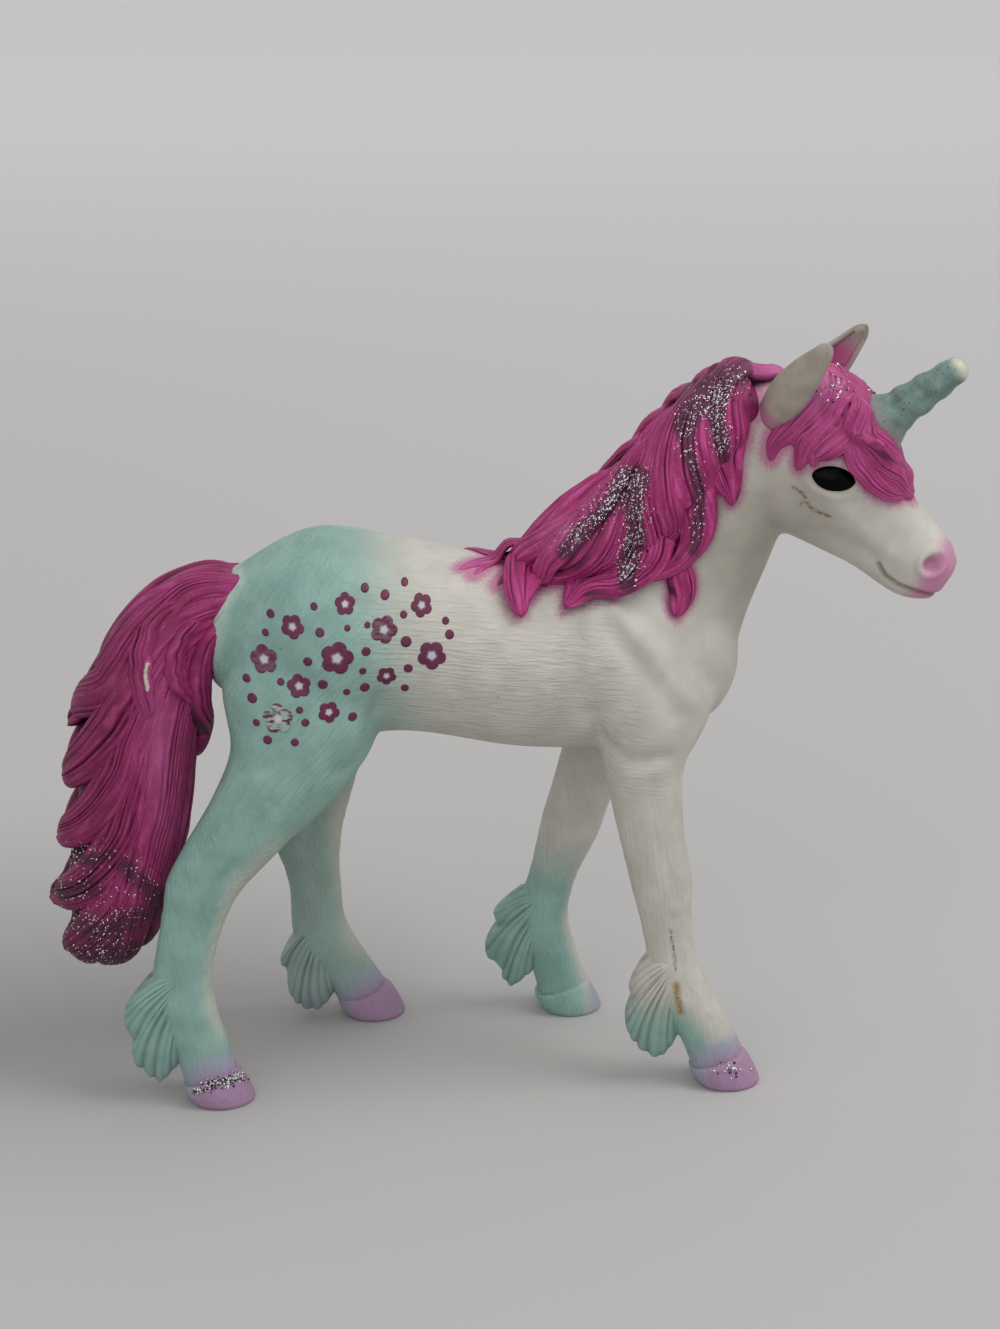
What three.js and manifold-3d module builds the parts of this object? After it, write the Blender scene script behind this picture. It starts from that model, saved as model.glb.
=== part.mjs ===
import * as THREE from "three";
import { mergeVertices } from "three/addons/utils/BufferGeometryUtils.js";
import Module from "manifold-3d";

// A unicorn foal, a figurine of soft vinyl glued up from moulded pieces. Sizes are in millimetres.
// +X is forwards, +Y is the animal's left and +Z is up. The hooves stand on z = 0.

// Seams and pegs
const seatGap = 0.3;
const legSeamHeight = 38.6;
const legPeg = { radius: 1.7, length: 5 };
const neckPeg = { radius: 2.6, length: 5 };
const tailPeg = { radius: 1.8, length: 8 };
const hornPeg = { radius: 1.1, length: 4.2 };
const earPeg = { radius: 0.7, length: 2.2, lean: 60 };
const pegSides = 8;
const pegOverlap = 1;

// Trunk sections from the rump to the breast: place, top line, belly line and width
const rump = { x: -31, top: 60.3, bottom: 46.5, width: 13.5 };
const croup = { x: -21, top: 65.2, bottom: 41.5, width: 23.4 };
const loin = { x: -10, top: 63.6, bottom: 41.6, width: 22.6 };
const back = { x: 2, top: 61.2, bottom: 39.6, width: 23.4 };
const withers = { x: 12, top: 62, bottom: 39.4, width: 22 };
const breast = { x: 22.5, top: 59, bottom: 42.2, width: 17 };
const rumpRounding = 3;
const breastRounding = 4;

// Neck sections from the shoulders to the poll
const neckSections = [
  { x: 13, y: 0, z: 50, depth: 23, width: 17.5 },
  { x: 17.4, y: 0, z: 57.3, depth: 22, width: 16.4 },
  { x: 21.7, y: 0, z: 64.4, depth: 19.4, width: 13.6 },
  { x: 25.4, y: -0.4, z: 71.4, depth: 16.6, width: 12.2 },
  { x: 28.7, y: -0.8, z: 78, depth: 13, width: 11 },
];
const pollRounding = 3;
const throat = { x: 30.4, z: 63.5, lean: 30 };

// Head, along its own length from the back of the skull to the lips, nodded down and turned to its right
const headPlace = { x: 30, y: -0.8, z: 76 };
const headNod = 36;
const headTurn = 20;
const skullBack = { x: -3, top: 5.5, bottom: -4, width: 9 };
const poll = { x: 2, top: 8.6, bottom: -7, width: 11.4 };
const brow = { x: 7.5, top: 8.9, bottom: -7.9, width: 12.8 };
const eyeLine = { x: 12.5, top: 6.9, bottom: -6.9, width: 11.6 };
const noseRoot = { x: 16.5, top: 4.9, bottom: -6, width: 9.2 };
const noseMiddle = { x: 20, top: 3.9, bottom: -5.7, width: 7.6 };
const nostrils = { x: 23.2, top: 3.2, bottom: -5, width: 7.6 };
const lips = { x: 25.2, top: 2.2, bottom: -3.9, width: 6.4 };
const skullRounding = 1.5;
const lipRounding = 1;
const cheek = { x: 6.5, side: 3.2, z: -2.6, length: 10.4, width: 6, height: 9.4 };
const eye = { x: 9, side: 5.5, z: 2.1, length: 4.6, height: 2.8, depth: 2.8, slant: 28 };
const lid = { x: 8.8, side: 5, z: 2.1, length: 6.2, height: 4.2, depth: 3 };
const nostril = { x: 23.1, side: 3.2, z: 0.5, size: 1.9, rim: 0.38, depth: 0.9 };
const mouth = { corner: 19.4, z: -3.4, slit: 0.4, depth: 0.7, rise: 9 };

// Horn and ears, placed in the head's own frame
const horn = { x: 9, z: 8.4, lean: 16, length: 11, width: 5, middle: 4.2, tip: 2.9, turns: 4, groove: 0.07 };
const collar = { width: 5.8, height: 1.6, taper: 0.5 };
const earPlace = { x: 0.4, side: 5, z: 3.2, lean: -2, splay: 19, turn: 66 };
const ear = { length: 11, width: 5.2, depth: 3, wall: 0.7, root: 1, floor: 1.6, rim: 1 };
// How wide an ear is along its length, as shares of both
const earLeaf = [[0, 0.74], [0.3, 1], [0.6, 0.9], [0.85, 0.6], [1, 0.36]];

// Legs from the inside of the trunk down to the pastern
const hindRight = [
  { x: -21, y: -4.4, z: 54, depth: 19.6, width: 11 },
  { x: -22.4, y: -6.5, z: 46.5, depth: 18.8, width: 11.2 },
  { x: -24.6, y: -8.2, z: 40, depth: 13.6, width: 9.8 },
  { x: -28.8, y: -9.2, z: 34, depth: 10, width: 7.8 },
  { x: -33.6, y: -9.8, z: 27.5, depth: 8.2, width: 6.2 },
  { x: -36.1, y: -10, z: 20, depth: 7, width: 5.2 },
  { x: -37, y: -10.1, z: 12.6, depth: 7, width: 5.6 },
  { x: -35.2, y: -10.2, z: 7.2, depth: 6.6, width: 5.4 },
  { x: -33.8, y: -10.2, z: 2.2, depth: 6.8, width: 5.8 },
];
const hindLeft = [
  { x: -21, y: 4.4, z: 54, depth: 19.6, width: 11 },
  { x: -21.2, y: 6.6, z: 46.5, depth: 18.2, width: 11.2 },
  { x: -20.8, y: 8.4, z: 40, depth: 13, width: 9.8 },
  { x: -21.4, y: 9.6, z: 33, depth: 9.8, width: 7.8 },
  { x: -22.5, y: 10.6, z: 25, depth: 8.2, width: 6.2 },
  { x: -21.9, y: 11.2, z: 17.5, depth: 6.5, width: 5.2 },
  { x: -21.3, y: 11.6, z: 11, depth: 6.8, width: 5.6 },
  { x: -18.4, y: 11.9, z: 6.4, depth: 6.4, width: 5.4 },
  { x: -16, y: 12, z: 2.2, depth: 6.8, width: 5.8 },
];
const foreRight = [
  { x: 15.5, y: -4.8, z: 55, depth: 13, width: 10.6 },
  { x: 16.8, y: -6.6, z: 46.5, depth: 13.4, width: 10.6 },
  { x: 15.9, y: -7.8, z: 40, depth: 9.6, width: 8.4 },
  { x: 16.5, y: -8.4, z: 33, depth: 7.9, width: 6.8 },
  { x: 18, y: -8.8, z: 25, depth: 7, width: 6 },
  { x: 19, y: -9, z: 18, depth: 5.8, width: 4.9 },
  { x: 20.3, y: -9.1, z: 12, depth: 6.6, width: 5.5 },
  { x: 23.2, y: -9.2, z: 7, depth: 6.4, width: 5.3 },
  { x: 25.3, y: -9.2, z: 2.2, depth: 6.8, width: 5.8 },
];
const foreLeft = [
  { x: 15.2, y: 4.8, z: 55, depth: 13, width: 10.6 },
  { x: 15.4, y: 6.8, z: 46.5, depth: 13, width: 10.6 },
  { x: 13.6, y: 8.4, z: 40, depth: 9.6, width: 8.4 },
  { x: 11.5, y: 9.6, z: 33, depth: 7.9, width: 6.8 },
  { x: 9.2, y: 10.6, z: 25, depth: 7.2, width: 6 },
  { x: 7.1, y: 11.2, z: 18, depth: 5.9, width: 4.9 },
  { x: 5.8, y: 11.6, z: 11.8, depth: 6.6, width: 5.5 },
  { x: 7.5, y: 11.9, z: 6.6, depth: 6.4, width: 5.3 },
  { x: 8.8, y: 12, z: 2.2, depth: 6.8, width: 5.8 },
];
const limbRounding = 4;

// Hooves: the sole, the coronet above it and how far the wall leans back
const hoof = { length: 8, width: 7.2, height: 2.6, lean: 1.3, coronet: 7.4, coronetWidth: 6.6, band: 1.3 };
const legs = {
  hindleg_right: { sections: hindRight, sole: -32.8 },
  hindleg_left: { sections: hindLeft, sole: -14.9 },
  foreleg_right: { sections: foreRight, sole: 26.2 },
  foreleg_left: { sections: foreLeft, sole: 9.6 },
};

// Fetlock feathers: a fan of strands down the back of each leg, from a root and between two angles
const feather = { strands: 7, width: 3.2, thickness: 4, spread: 2.4, bulge: 0.8, taper: 0.24, rounding: 0.7 };
const fans = {
  hindleg_right: { x: -37.2, z: 14.6, first: 58, last: 5, short: 4.6, long: 11.2 },
  hindleg_left: { x: -22, z: 11.8, first: 46, last: -5, short: 4.6, long: 9.8 },
  foreleg_right: { x: 19, z: 15.4, first: 50, last: 0, short: 4.2, long: 11 },
  foreleg_left: { x: 4.8, z: 14.6, first: 62, last: 7, short: 4.6, long: 10.6 },
};

// Tail, from its root in the rump to the tip
const tailSections = [
  { x: -29, y: 0, z: 57.4, depth: 8.6, width: 6.4 },
  { x: -33.2, y: -0.2, z: 57.2, depth: 8.8, width: 7.2 },
  { x: -38, y: -0.8, z: 53.4, depth: 9.2, width: 7.8 },
  { x: -40.6, y: -1.6, z: 47, depth: 10.2, width: 8.2 },
  { x: -42, y: -2.5, z: 40, depth: 11, width: 8.2 },
  { x: -43.2, y: -3.3, z: 32, depth: 11.2, width: 8 },
  { x: -44.6, y: -4, z: 25, depth: 10.6, width: 7.6 },
  { x: -45.4, y: -4.4, z: 19, depth: 8.4, width: 6.4 },
];
const tailRounding = 3;

// Hair. Each lock has the route of its middle in side view, as x and z, and its greatest width and thickness.
// The bed of the mane is a pad along the crest, under the locks.
const maneBed = [
  { x: 31.4, y: -0.8, z: 81, depth: 5.4, width: 10 },
  { x: 26.6, y: -0.6, z: 79.6, depth: 7.6, width: 12 },
  { x: 20.8, y: -0.3, z: 74, depth: 8.2, width: 13.4 },
  { x: 16.2, y: -0.3, z: 68.4, depth: 8.2, width: 14 },
  { x: 10.5, y: -0.3, z: 64.4, depth: 7, width: 14 },
  { x: 4.5, y: 0, z: 61, depth: 4.4, width: 10 },
];
const maneLocks = [
  { route: [[11, 68.4], [6.5, 65.6], [2.2, 63], [-1.8, 61.9], [-5.2, 61.3]], width: 3.4, thickness: 2.2 },
  { route: [[28.6, 83], [25.6, 80.4], [24.7, 76], [24.5, 71.6], [25.1, 68.9]], width: 3.8, thickness: 2 },
  { route: [[14.6, 72.4], [9.6, 68], [5.4, 64.4], [2.4, 60.8], [1, 58.6], [2, 56.8]], width: 4, thickness: 2.6 },
  { route: [[16.9, 74.6], [12.9, 68.2], [8.9, 63.4], [5, 60.8], [2.8, 59], [2, 57.4]], width: 5, thickness: 2.8 },
  { route: [[18.4, 76], [16, 69.6], [13.6, 63.8], [10.8, 60.4], [8, 59], [6.6, 57.8]], width: 5.2, thickness: 2.6 },
  { route: [[19, 74], [17.4, 66], [16.2, 62], [13, 59.6], [9.4, 58.8], [6.8, 57.8]], width: 4.2, thickness: 2.4 },
  { route: [[20.6, 76], [20, 69.4], [19.6, 64], [19.6, 60], [18.8, 57]], width: 4, thickness: 2.6 },
  { route: [[20.2, 78.6], [18, 74], [17.7, 68.2], [18, 62.8], [16.6, 59.8]], width: 4.2, thickness: 3 },
  { route: [[22.6, 80.8], [20.4, 75.6], [20.4, 70.4], [21.2, 65], [18.2, 61.6]], width: 4.4, thickness: 3 },
  { route: [[26, 82.4], [22.6, 79], [21.6, 74.8], [22, 69.4], [21.4, 64.4]], width: 4.4, thickness: 2.8 },
];
const farLocks = { count: 4, width: 7.4, thickness: 2.2, length: 8.5, sweep: 3 };
const tailLocks = [
  { route: [[-30.4, 59.4], [-34, 59.6], [-38.6, 57.6], [-42.2, 54], [-44.8, 50]], width: 4, thickness: 2.6 },
  { route: [[-32, 58], [-37, 56], [-41.4, 52], [-46, 47], [-48.2, 44.6]], width: 5.4, thickness: 3 },
  { route: [[-36, 56], [-40.8, 51], [-44, 44.6], [-47.4, 39.6], [-48.9, 37.6]], width: 5.4, thickness: 3 },
  { route: [[-37, 54], [-42, 45], [-45.2, 37.4], [-48, 33], [-49.4, 31]], width: 5.4, thickness: 3 },
  { route: [[-38.4, 48], [-42.2, 38], [-45.6, 30.2], [-49.8, 25.4], [-51.3, 23.8]], width: 5.4, thickness: 3 },
  { route: [[-38.6, 42], [-40.6, 32], [-43, 24.4], [-46.6, 18.9], [-49.1, 17]], width: 6.6, thickness: 3.6 },
  { route: [[-37.6, 40], [-38.2, 32], [-39.8, 25], [-42.2, 19.4], [-44, 17]], width: 5, thickness: 3.2 },
  { route: [[-35.8, 56.6], [-38.4, 51.6], [-39.8, 44.8], [-40, 36.6], [-41.4, 28]], width: 3.6, thickness: 2.6 },
  { route: [[-32.4, 56.6], [-35.4, 52.4], [-36.4, 47.4], [-36, 43.6], [-35.2, 41.6]], width: 4.6, thickness: 3.4 },
  { route: [[-33.2, 58], [-37.4, 54], [-39.4, 50.4], [-39.8, 48], [-39.4, 46.8]], width: 3.8, thickness: 2.4 },
];
const forelockBed = [
  { x: 1.6, y: 0, z: 8, depth: 4, width: 8 },
  { x: 6, y: 0, z: 8.4, depth: 4, width: 10.4 },
  { x: 10.6, y: 0, z: 7, depth: 4, width: 9.6 },
  { x: 14.6, y: 0, z: 5, depth: 2.6, width: 6.4 },
];
// The forelock's routes run in the head's own frame, as x, side and height, from between the ears
const forelockLocks = [
  { route: [[2.4, -1.8, 10.1], [7.2, -3, 8.4], [11.2, -3.8, 6.2], [14.6, -3, 4.9], [16.6, -1.4, 4.5]], width: 5.6 },
  { route: [[2.4, -2.2, 9.6], [4.6, -4.4, 7], [5, -5.6, 4.4], [4.2, -6.2, 2.2], [4.9, -6.5, 0.6]], width: 4 },
  { route: [[2.6, -2.4, 9.4], [3.8, -4.8, 6.8], [3.4, -5.6, 4.2], [2, -5.9, 1.6], [2.2, -6.1, -0.4]], width: 3 },
  { route: [[2.6, -1.8, 10], [5.4, -4.2, 7.8], [7, -5.3, 5.8], [6.6, -5.9, 4.4]], width: 4.2 },
  { route: [[3, 0.4, 10.2], [9, 0, 8.8], [13, 0, 6.8], [16, 0.4, 5.2]], width: 4.4 },
  { route: [[3, 1.4, 10], [7, 3.4, 8.4], [11, 4, 6.2], [14, 3.2, 4.8]], width: 4.6 },
  { route: [[2.6, 2.2, 9.6], [5, 4.8, 7], [6, 6, 4], [6.2, 6.3, 1.8]], width: 4.4 },
];
const forelockThickness = 2;
// Where a lock starts and ends on the half wave that swells it, and its ridges
const hairRoot = 0.25;
const hairTip = { pointed: 0.62, blunt: 0.46, rounding: 0.4 };
const hairRidges = { sides: 6, groove: 0.88 };

const coatColour = 0xd9d6cb;
const mintColour = 0x9cc9bc;
const hairColour = 0xa5287a;
const eyeColour = 0x0b0a0c;

const forwards = new THREE.Vector3(1, 0, 0);
const leftwards = new THREE.Vector3(0, 1, 0);
const upwards = new THREE.Vector3(0, 0, 1);
const farAway = 300;
const fullCapRings = [35, 65, 90];
const fewCapRings = [50, 90];
const radians = THREE.MathUtils.degToRad;

const wasm = await Module();
wasm.setup();

// Solids for joins and cuts, and the mesh of a finished solid
function solid(geometry) {
  const bare = geometry.clone();
  bare.deleteAttribute("normal");
  bare.deleteAttribute("uv");
  const merged = mergeVertices(bare, 1e-4);
  const vertProperties = new Float32Array(merged.attributes.position.array);
  const triVerts = new Uint32Array(merged.index.array);
  return new wasm.Manifold(new wasm.Mesh({ numProp: 3, vertProperties, triVerts }));
}

function surface(body) {
  const { vertProperties, triVerts } = body.getMesh();
  const geometry = new THREE.BufferGeometry();
  geometry.setAttribute("position", new THREE.BufferAttribute(vertProperties, 3));
  geometry.setIndex(new THREE.BufferAttribute(triVerts, 1));
  geometry.computeVertexNormals();
  return geometry;
}

const union = (bodies) => bodies.reduce((sum, body) => sum.add(body));
const without = (body, cutters) => cutters.reduce((rest, cutter) => rest.subtract(cutter), body);

const least = (list, cost) => list.reduce((best, one) => (cost(one) < cost(best) ? one : best));

// The biggest piece of a cut body, free of the crumbs that cutting leaves
const largest = (body) => least(body.decompose(), (piece) => -piece.volume());

const pointOf = ({ x, y, z }) => new THREE.Vector3(x, y, z);
const lineThrough = (sections) => new THREE.CatmullRomCurve3(sections.map(pointOf));

// A closed oval tube through sections. Depth lies in the plane of the route and width across it.
// facing holds every ring square to one direction, and across gives the direction of the width at a point.
function loft(sections, { sides, rings, facing, across = () => leftwards, roundness, ...ends }) {
  const { startCap = 0, endCap = 0, capRings = fullCapRings, grow = 0 } = ends;
  const route = lineThrough(sections);
  const halves = sections.map(({ depth, width }) => new THREE.Vector3(depth / 2 + grow, width / 2 + grow, 0));
  const spread = new THREE.CatmullRomCurve3(halves, false, "catmullrom", 0.5);
  const stations = [];
  for (let ring = 0; ring <= rings; ring++) {
    const t = ring / rings;
    const along = facing ?? route.getTangent(t);
    stations.push({ centre: route.getPoint(t), along, half: spread.getPoint(t) });
  }
  stations.unshift(...cap(stations[0], startCap && -(startCap + grow), capRings).reverse());
  stations.push(...cap(stations.at(-1), endCap && endCap + grow, capRings));
  return skin(stations, sides, across, roundness);
}

// Rings that round off the end of a loft, closing on a point
function cap({ centre, along, half }, reach, capRings) {
  const angles = reach ? capRings : [90];
  return angles.map((degrees) => ({
    centre: centre.clone().addScaledVector(along, reach * Math.sin(radians(degrees))),
    along,
    half: half.clone().multiplyScalar(degrees === 90 ? 0 : Math.cos(radians(degrees))),
  }));
}

// Triangles over a row of oval rings whose first and last are points.
// roundness scales a ring's radius at a step of its sides and a share of the length.
function skin(stations, sides, across, roundness = () => 1) {
  const points = [];
  const faces = [];
  const rings = stations.slice(1, -1);
  rings.forEach(({ centre, along, half }, ring) => {
    const side = across(centre, along).clone();
    side.addScaledVector(along, -side.dot(along)).normalize();
    const rise = new THREE.Vector3().crossVectors(side, along);
    for (let step = 0; step < sides; step++) {
      const angle = (2 * Math.PI * step) / sides;
      const size = roundness(step / sides, ring / (rings.length - 1));
      const point = centre.clone();
      point.addScaledVector(rise, half.x * size * Math.cos(angle));
      point.addScaledVector(side, half.y * size * Math.sin(angle));
      points.push(point);
    }
  });
  const start = points.push(stations[0].centre) - 1;
  const end = points.push(stations.at(-1).centre) - 1;
  const last = (rings.length - 1) * sides;
  for (let step = 0; step < sides; step++) {
    const next = (step + 1) % sides;
    faces.push(start, next, step);
    for (let row = 0; row < last; row += sides) {
      const [a, b] = [row + step, row + next];
      faces.push(a, b, a + sides, b, b + sides, a + sides);
    }
    faces.push(end, last + step, last + next);
  }
  const geometry = new THREE.BufferGeometry();
  geometry.setAttribute("position", new THREE.Float32BufferAttribute(points.flatMap((p) => p.toArray()), 3));
  geometry.setIndex(faces);
  return geometry;
}

const profile = ({ x, top, bottom, width }) => ({ x, y: 0, z: (top + bottom) / 2, depth: top - bottom, width });

function ellipsoid(length, width, height, sides = 10) {
  return new THREE.SphereGeometry(0.5, sides, sides / 2 + 1).scale(length, width, height);
}

// A round peg from a root along a direction, and the socket it slides into
function pegOf({ radius, length }, root, direction, clearance = 0) {
  const reach = length + 2 * clearance;
  const pin = new THREE.CylinderGeometry(radius + clearance, radius + clearance, reach, pegSides);
  pin.translate(0, reach / 2 - clearance, 0);
  pin.applyQuaternion(new THREE.Quaternion().setFromUnitVectors(leftwards, direction));
  return solid(pin.translate(root.x, root.y, root.z));
}

// A block that fills everything ahead of a point in one direction
function beyond(point, direction) {
  const block = new THREE.BoxGeometry(farAway, farAway, farAway).translate(0, 0, farAway / 2);
  block.applyQuaternion(new THREE.Quaternion().setFromUnitVectors(upwards, direction));
  return solid(block.translate(point.x, point.y, point.z));
}

const headPose = new THREE.Matrix4().compose(
  new THREE.Vector3(headPlace.x, headPlace.y, headPlace.z),
  new THREE.Quaternion().setFromEuler(new THREE.Euler(0, radians(headNod), -radians(headTurn), "ZYX")),
  new THREE.Vector3(1, 1, 1),
);
const inHead = (geometry) => solid(geometry.applyMatrix4(headPose));
const headPoint = (x, y, z) => new THREE.Vector3(x, y, z).applyMatrix4(headPose);
const headDirection = (x, y, z) => new THREE.Vector3(x, y, z).transformDirection(headPose);

// Coat masses before the seams are cut
function trunk(grow = 0) {
  const sections = [rump, croup, loin, back, withers, breast].map(profile);
  const caps = { startCap: rumpRounding, endCap: breastRounding };
  return solid(loft(sections, { sides: 16, rings: 11, facing: forwards, grow, ...caps }));
}

const neck = (grow = 0) => solid(loft(neckSections, { sides: 16, rings: 7, grow, endCap: pollRounding }));

function skull(grow = 0) {
  const sections = [skullBack, poll, brow, eyeLine, noseRoot, noseMiddle, nostrils, lips].map(profile);
  const caps = { startCap: skullRounding, endCap: lipRounding };
  const face = inHead(loft(sections, { sides: 16, rings: 12, facing: forwards, grow, ...caps }));
  const cheeks = [-1, 1].map((side) => {
    const size = [cheek.length, cheek.width, cheek.height].map((span) => span + 2 * grow);
    return inHead(ellipsoid(...size).translate(cheek.x, side * cheek.side, cheek.z));
  });
  return union([face, ...cheeks]);
}

const limb = (sections, grow = 0) =>
  solid(loft(sections, { sides: 12, rings: 12, startCap: limbRounding, capRings: fewCapRings, grow }));

// The eyeball, seated in its socket between the lids
function eyeball(side, grow = 0) {
  const ball = ellipsoid(eye.length + 2 * grow, eye.depth + 2 * grow, eye.height + 2 * grow);
  return inHead(ball.rotateY(-radians(eye.slant)).translate(eye.x, side * eye.side, eye.z));
}

function lids(side) {
  const rim = ellipsoid(lid.length, lid.depth, lid.height, 10);
  return inHead(rim.rotateY(-radians(eye.slant)).translate(lid.x, side * lid.side, lid.z));
}

// Nostrils: a raised ring round a hollow
function nostrilRing(side) {
  const ring = new THREE.TorusGeometry(nostril.size / 2, nostril.rim, 5, 10).rotateX(Math.PI / 2);
  return inHead(ring.translate(nostril.x, side * nostril.side, nostril.z));
}

function nostrilHollow(side) {
  const size = nostril.size;
  const hollow = ellipsoid(size, 2 * nostril.depth, size, 8);
  return inHead(hollow.translate(nostril.x, side * (nostril.side + nostril.rim), nostril.z));
}

// The line of the lips runs round the muzzle, as deep as mouth.depth
function lipLine() {
  const reach = 12;
  const slit = new THREE.BoxGeometry(reach, reach, mouth.slit).translate(reach / 2, 0, 0);
  return inHead(slit.rotateY(-radians(mouth.rise)).translate(mouth.corner, 0, mouth.z));
}

// Hooves stand on flat soles
function hoofOf(x, y) {
  const { length, width, height, lean, coronet, coronetWidth, band } = hoof;
  const ring = (z, depth, across) => ({ x: x - (lean * z) / height, y, z, depth, width: across });
  const sections = [
    ring(0, length, width),
    ring(height / 2, (length + coronet) / 2, (width + coronetWidth) / 2),
    ring(height, coronet, coronetWidth),
    ring(height + band, coronet - band, coronetWidth - band),
  ];
  return solid(loft(sections, { sides: 14, rings: 5, facing: upwards }));
}

// A feather's strands grow longer down the fan and lie by turns to the right and to the left
function featherOf(fan, y) {
  const strands = [];
  for (let i = 0; i < feather.strands; i++) {
    const share = i / (feather.strands - 1);
    const angle = radians(THREE.MathUtils.lerp(fan.first, fan.last, share));
    const length = THREE.MathUtils.lerp(fan.short, fan.long, Math.sqrt(share));
    const aside = (i % 2 ? 0.5 : -0.5) * feather.spread * Math.sqrt(share);
    const sections = [0, 0.35, 0.7, 1].map((part) => ({
      x: fan.x - Math.sin(angle) * length * part - feather.bulge * Math.sin(Math.PI * part),
      y: y + aside * part,
      z: fan.z - Math.cos(angle) * length * part,
      depth: feather.thickness * (1 - feather.taper * part * part),
      width: feather.width * (1 - feather.taper * part * part),
    }));
    strands.push(solid(loft(sections, { sides: 5, rings: 2, endCap: feather.rounding, capRings: fewCapRings })));
  }
  return union(strands);
}

// Hair locks lie on a surface and turn their flat side away from the line inside it
function awayFrom(sections) {
  const line = lineThrough(sections).getPoints(60);
  const nearest = (point) => least(line, (place) => place.distanceToSquared(point));
  return (point, along) => new THREE.Vector3().crossVectors(along, point.clone().sub(nearest(point)));
}

// A lock swells from its root and tapers to a rounded tip, with ridges along it
function lock(points, { width, thickness }, across, { grow = 0, tip = hairTip.pointed } = {}) {
  const swell = (share) => Math.sin(Math.PI * (hairRoot + tip * share));
  const sections = points.map(({ x, y, z }, i) => {
    const size = swell(i / (points.length - 1));
    return { x, y, z, depth: thickness * size, width: width * size };
  });
  const endCap = hairTip.rounding * width * swell(1);
  const roundness = (turn) => (Math.round(turn * hairRidges.sides) % 2 ? hairRidges.groove : 1);
  const shape = { sides: hairRidges.sides, rings: 4, capRings: fewCapRings, roundness };
  return solid(loft(sections, { ...shape, across, endCap, grow }));
}

// Lays a route in side view on the flank of a body, and keeps to the middle where it misses the body
function drape(route, bed, side, lift, middle) {
  const mesh = new THREE.Mesh(surface(bed));
  return route.map(([x, z]) => {
    const from = new THREE.Vector3(x, side * farAway, z);
    const hit = new THREE.Raycaster(from, leftwards.clone().multiplyScalar(-side)).intersectObject(mesh)[0];
    return new THREE.Vector3(x, hit ? hit.point.y + side * lift : middle(z), z);
  });
}

function mane(grow = 0) {
  const spine = [{ x: -12, y: 0, z: 52 }, { x: 3, y: 0, z: 52 }, ...neckSections];
  const across = awayFrom(spine);
  const bed = union([trunk(), neck(), skull()]);
  const pad = solid(loft(maneBed, { sides: 10, rings: 7, endCap: 1.5, startCap: 1, capRings: fewCapRings, grow }));
  const near = maneLocks.map((one) =>
    lock(drape(one.route, bed, -1, one.thickness / 4, () => -0.4), one, across, { grow }),
  );
  const crest = new THREE.CatmullRomCurve3(maneBed.map(({ x, z }) => new THREE.Vector3(x, 0, z)));
  const far = [];
  for (let i = 0; i < farLocks.count; i++) {
    const root = crest.getPoint((i + 0.5) / farLocks.count);
    const down = (share) => [root.x - farLocks.sweep * share * share, root.z - farLocks.length * share];
    const route = drape([down(0), down(0.35), down(0.7), down(1)], bed, 1, farLocks.thickness / 4, () => 0.4);
    far.push(lock(route, farLocks, across, { grow }));
  }
  return union([pad, ...near, ...far]);
}

// The forelock's locks turn their flat side away from the middle of the skull
function forelock() {
  const skullMiddle = headPoint(brow.x, 0, 0);
  const across = (point, along) => new THREE.Vector3().crossVectors(along, point.clone().sub(skullMiddle));
  const pad = inHead(loft(forelockBed, { sides: 10, rings: 6, startCap: 1, endCap: 1, capRings: fewCapRings }));
  const locks = forelockLocks.map(({ route, width }) => {
    const points = route.map((place) => headPoint(...place));
    return lock(points, { width, thickness: forelockThickness }, across);
  });
  return union([pad, ...locks]);
}

function tail() {
  const core = solid(loft(tailSections, { sides: 10, rings: 10, endCap: tailRounding }));
  const line = lineThrough(tailSections).getPoints(60);
  const middle = (z) => least(line, (place) => Math.abs(place.z - z)).y;
  const across = awayFrom(tailSections);
  const lay = (one, side) => drape(one.route, core, side, one.thickness / 6, middle);
  const hang = (one, side) => lock(lay(one, side), one, across, { tip: hairTip.blunt });
  const near = tailLocks.map((one) => hang(one, -1));
  const far = tailLocks.filter((one, i) => i % 3 === 0).map((one) => hang(one, 1));
  return union([core, ...near, ...far]);
}

// The horn tapers to a blunt tip, with a groove winding round it, and springs from a smooth collar
function hornOf(grow = 0) {
  const section = (z, width) => ({ x: 0, y: 0, z, depth: width, width });
  const middle = section(horn.length / 2, horn.middle);
  const sections = [section(-1, horn.width), middle, section(horn.length, horn.tip)];
  const twist = (turn, share) => 1 - horn.groove * (1 + Math.cos(2 * Math.PI * (turn - horn.turns * share)));
  const spike = loft(sections, { sides: 8, rings: 16, endCap: horn.tip / 2, grow, roundness: twist });
  const foot = collar.width / 2 + grow;
  const ring = new THREE.CylinderGeometry(foot - collar.taper, foot, 2 * collar.height, 10);
  const placed = (geometry) => geometry.rotateY(radians(horn.lean)).translate(horn.x, 0, horn.z);
  return inHead(placed(spike)).add(inHead(placed(ring.rotateX(Math.PI / 2))));
}

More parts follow.
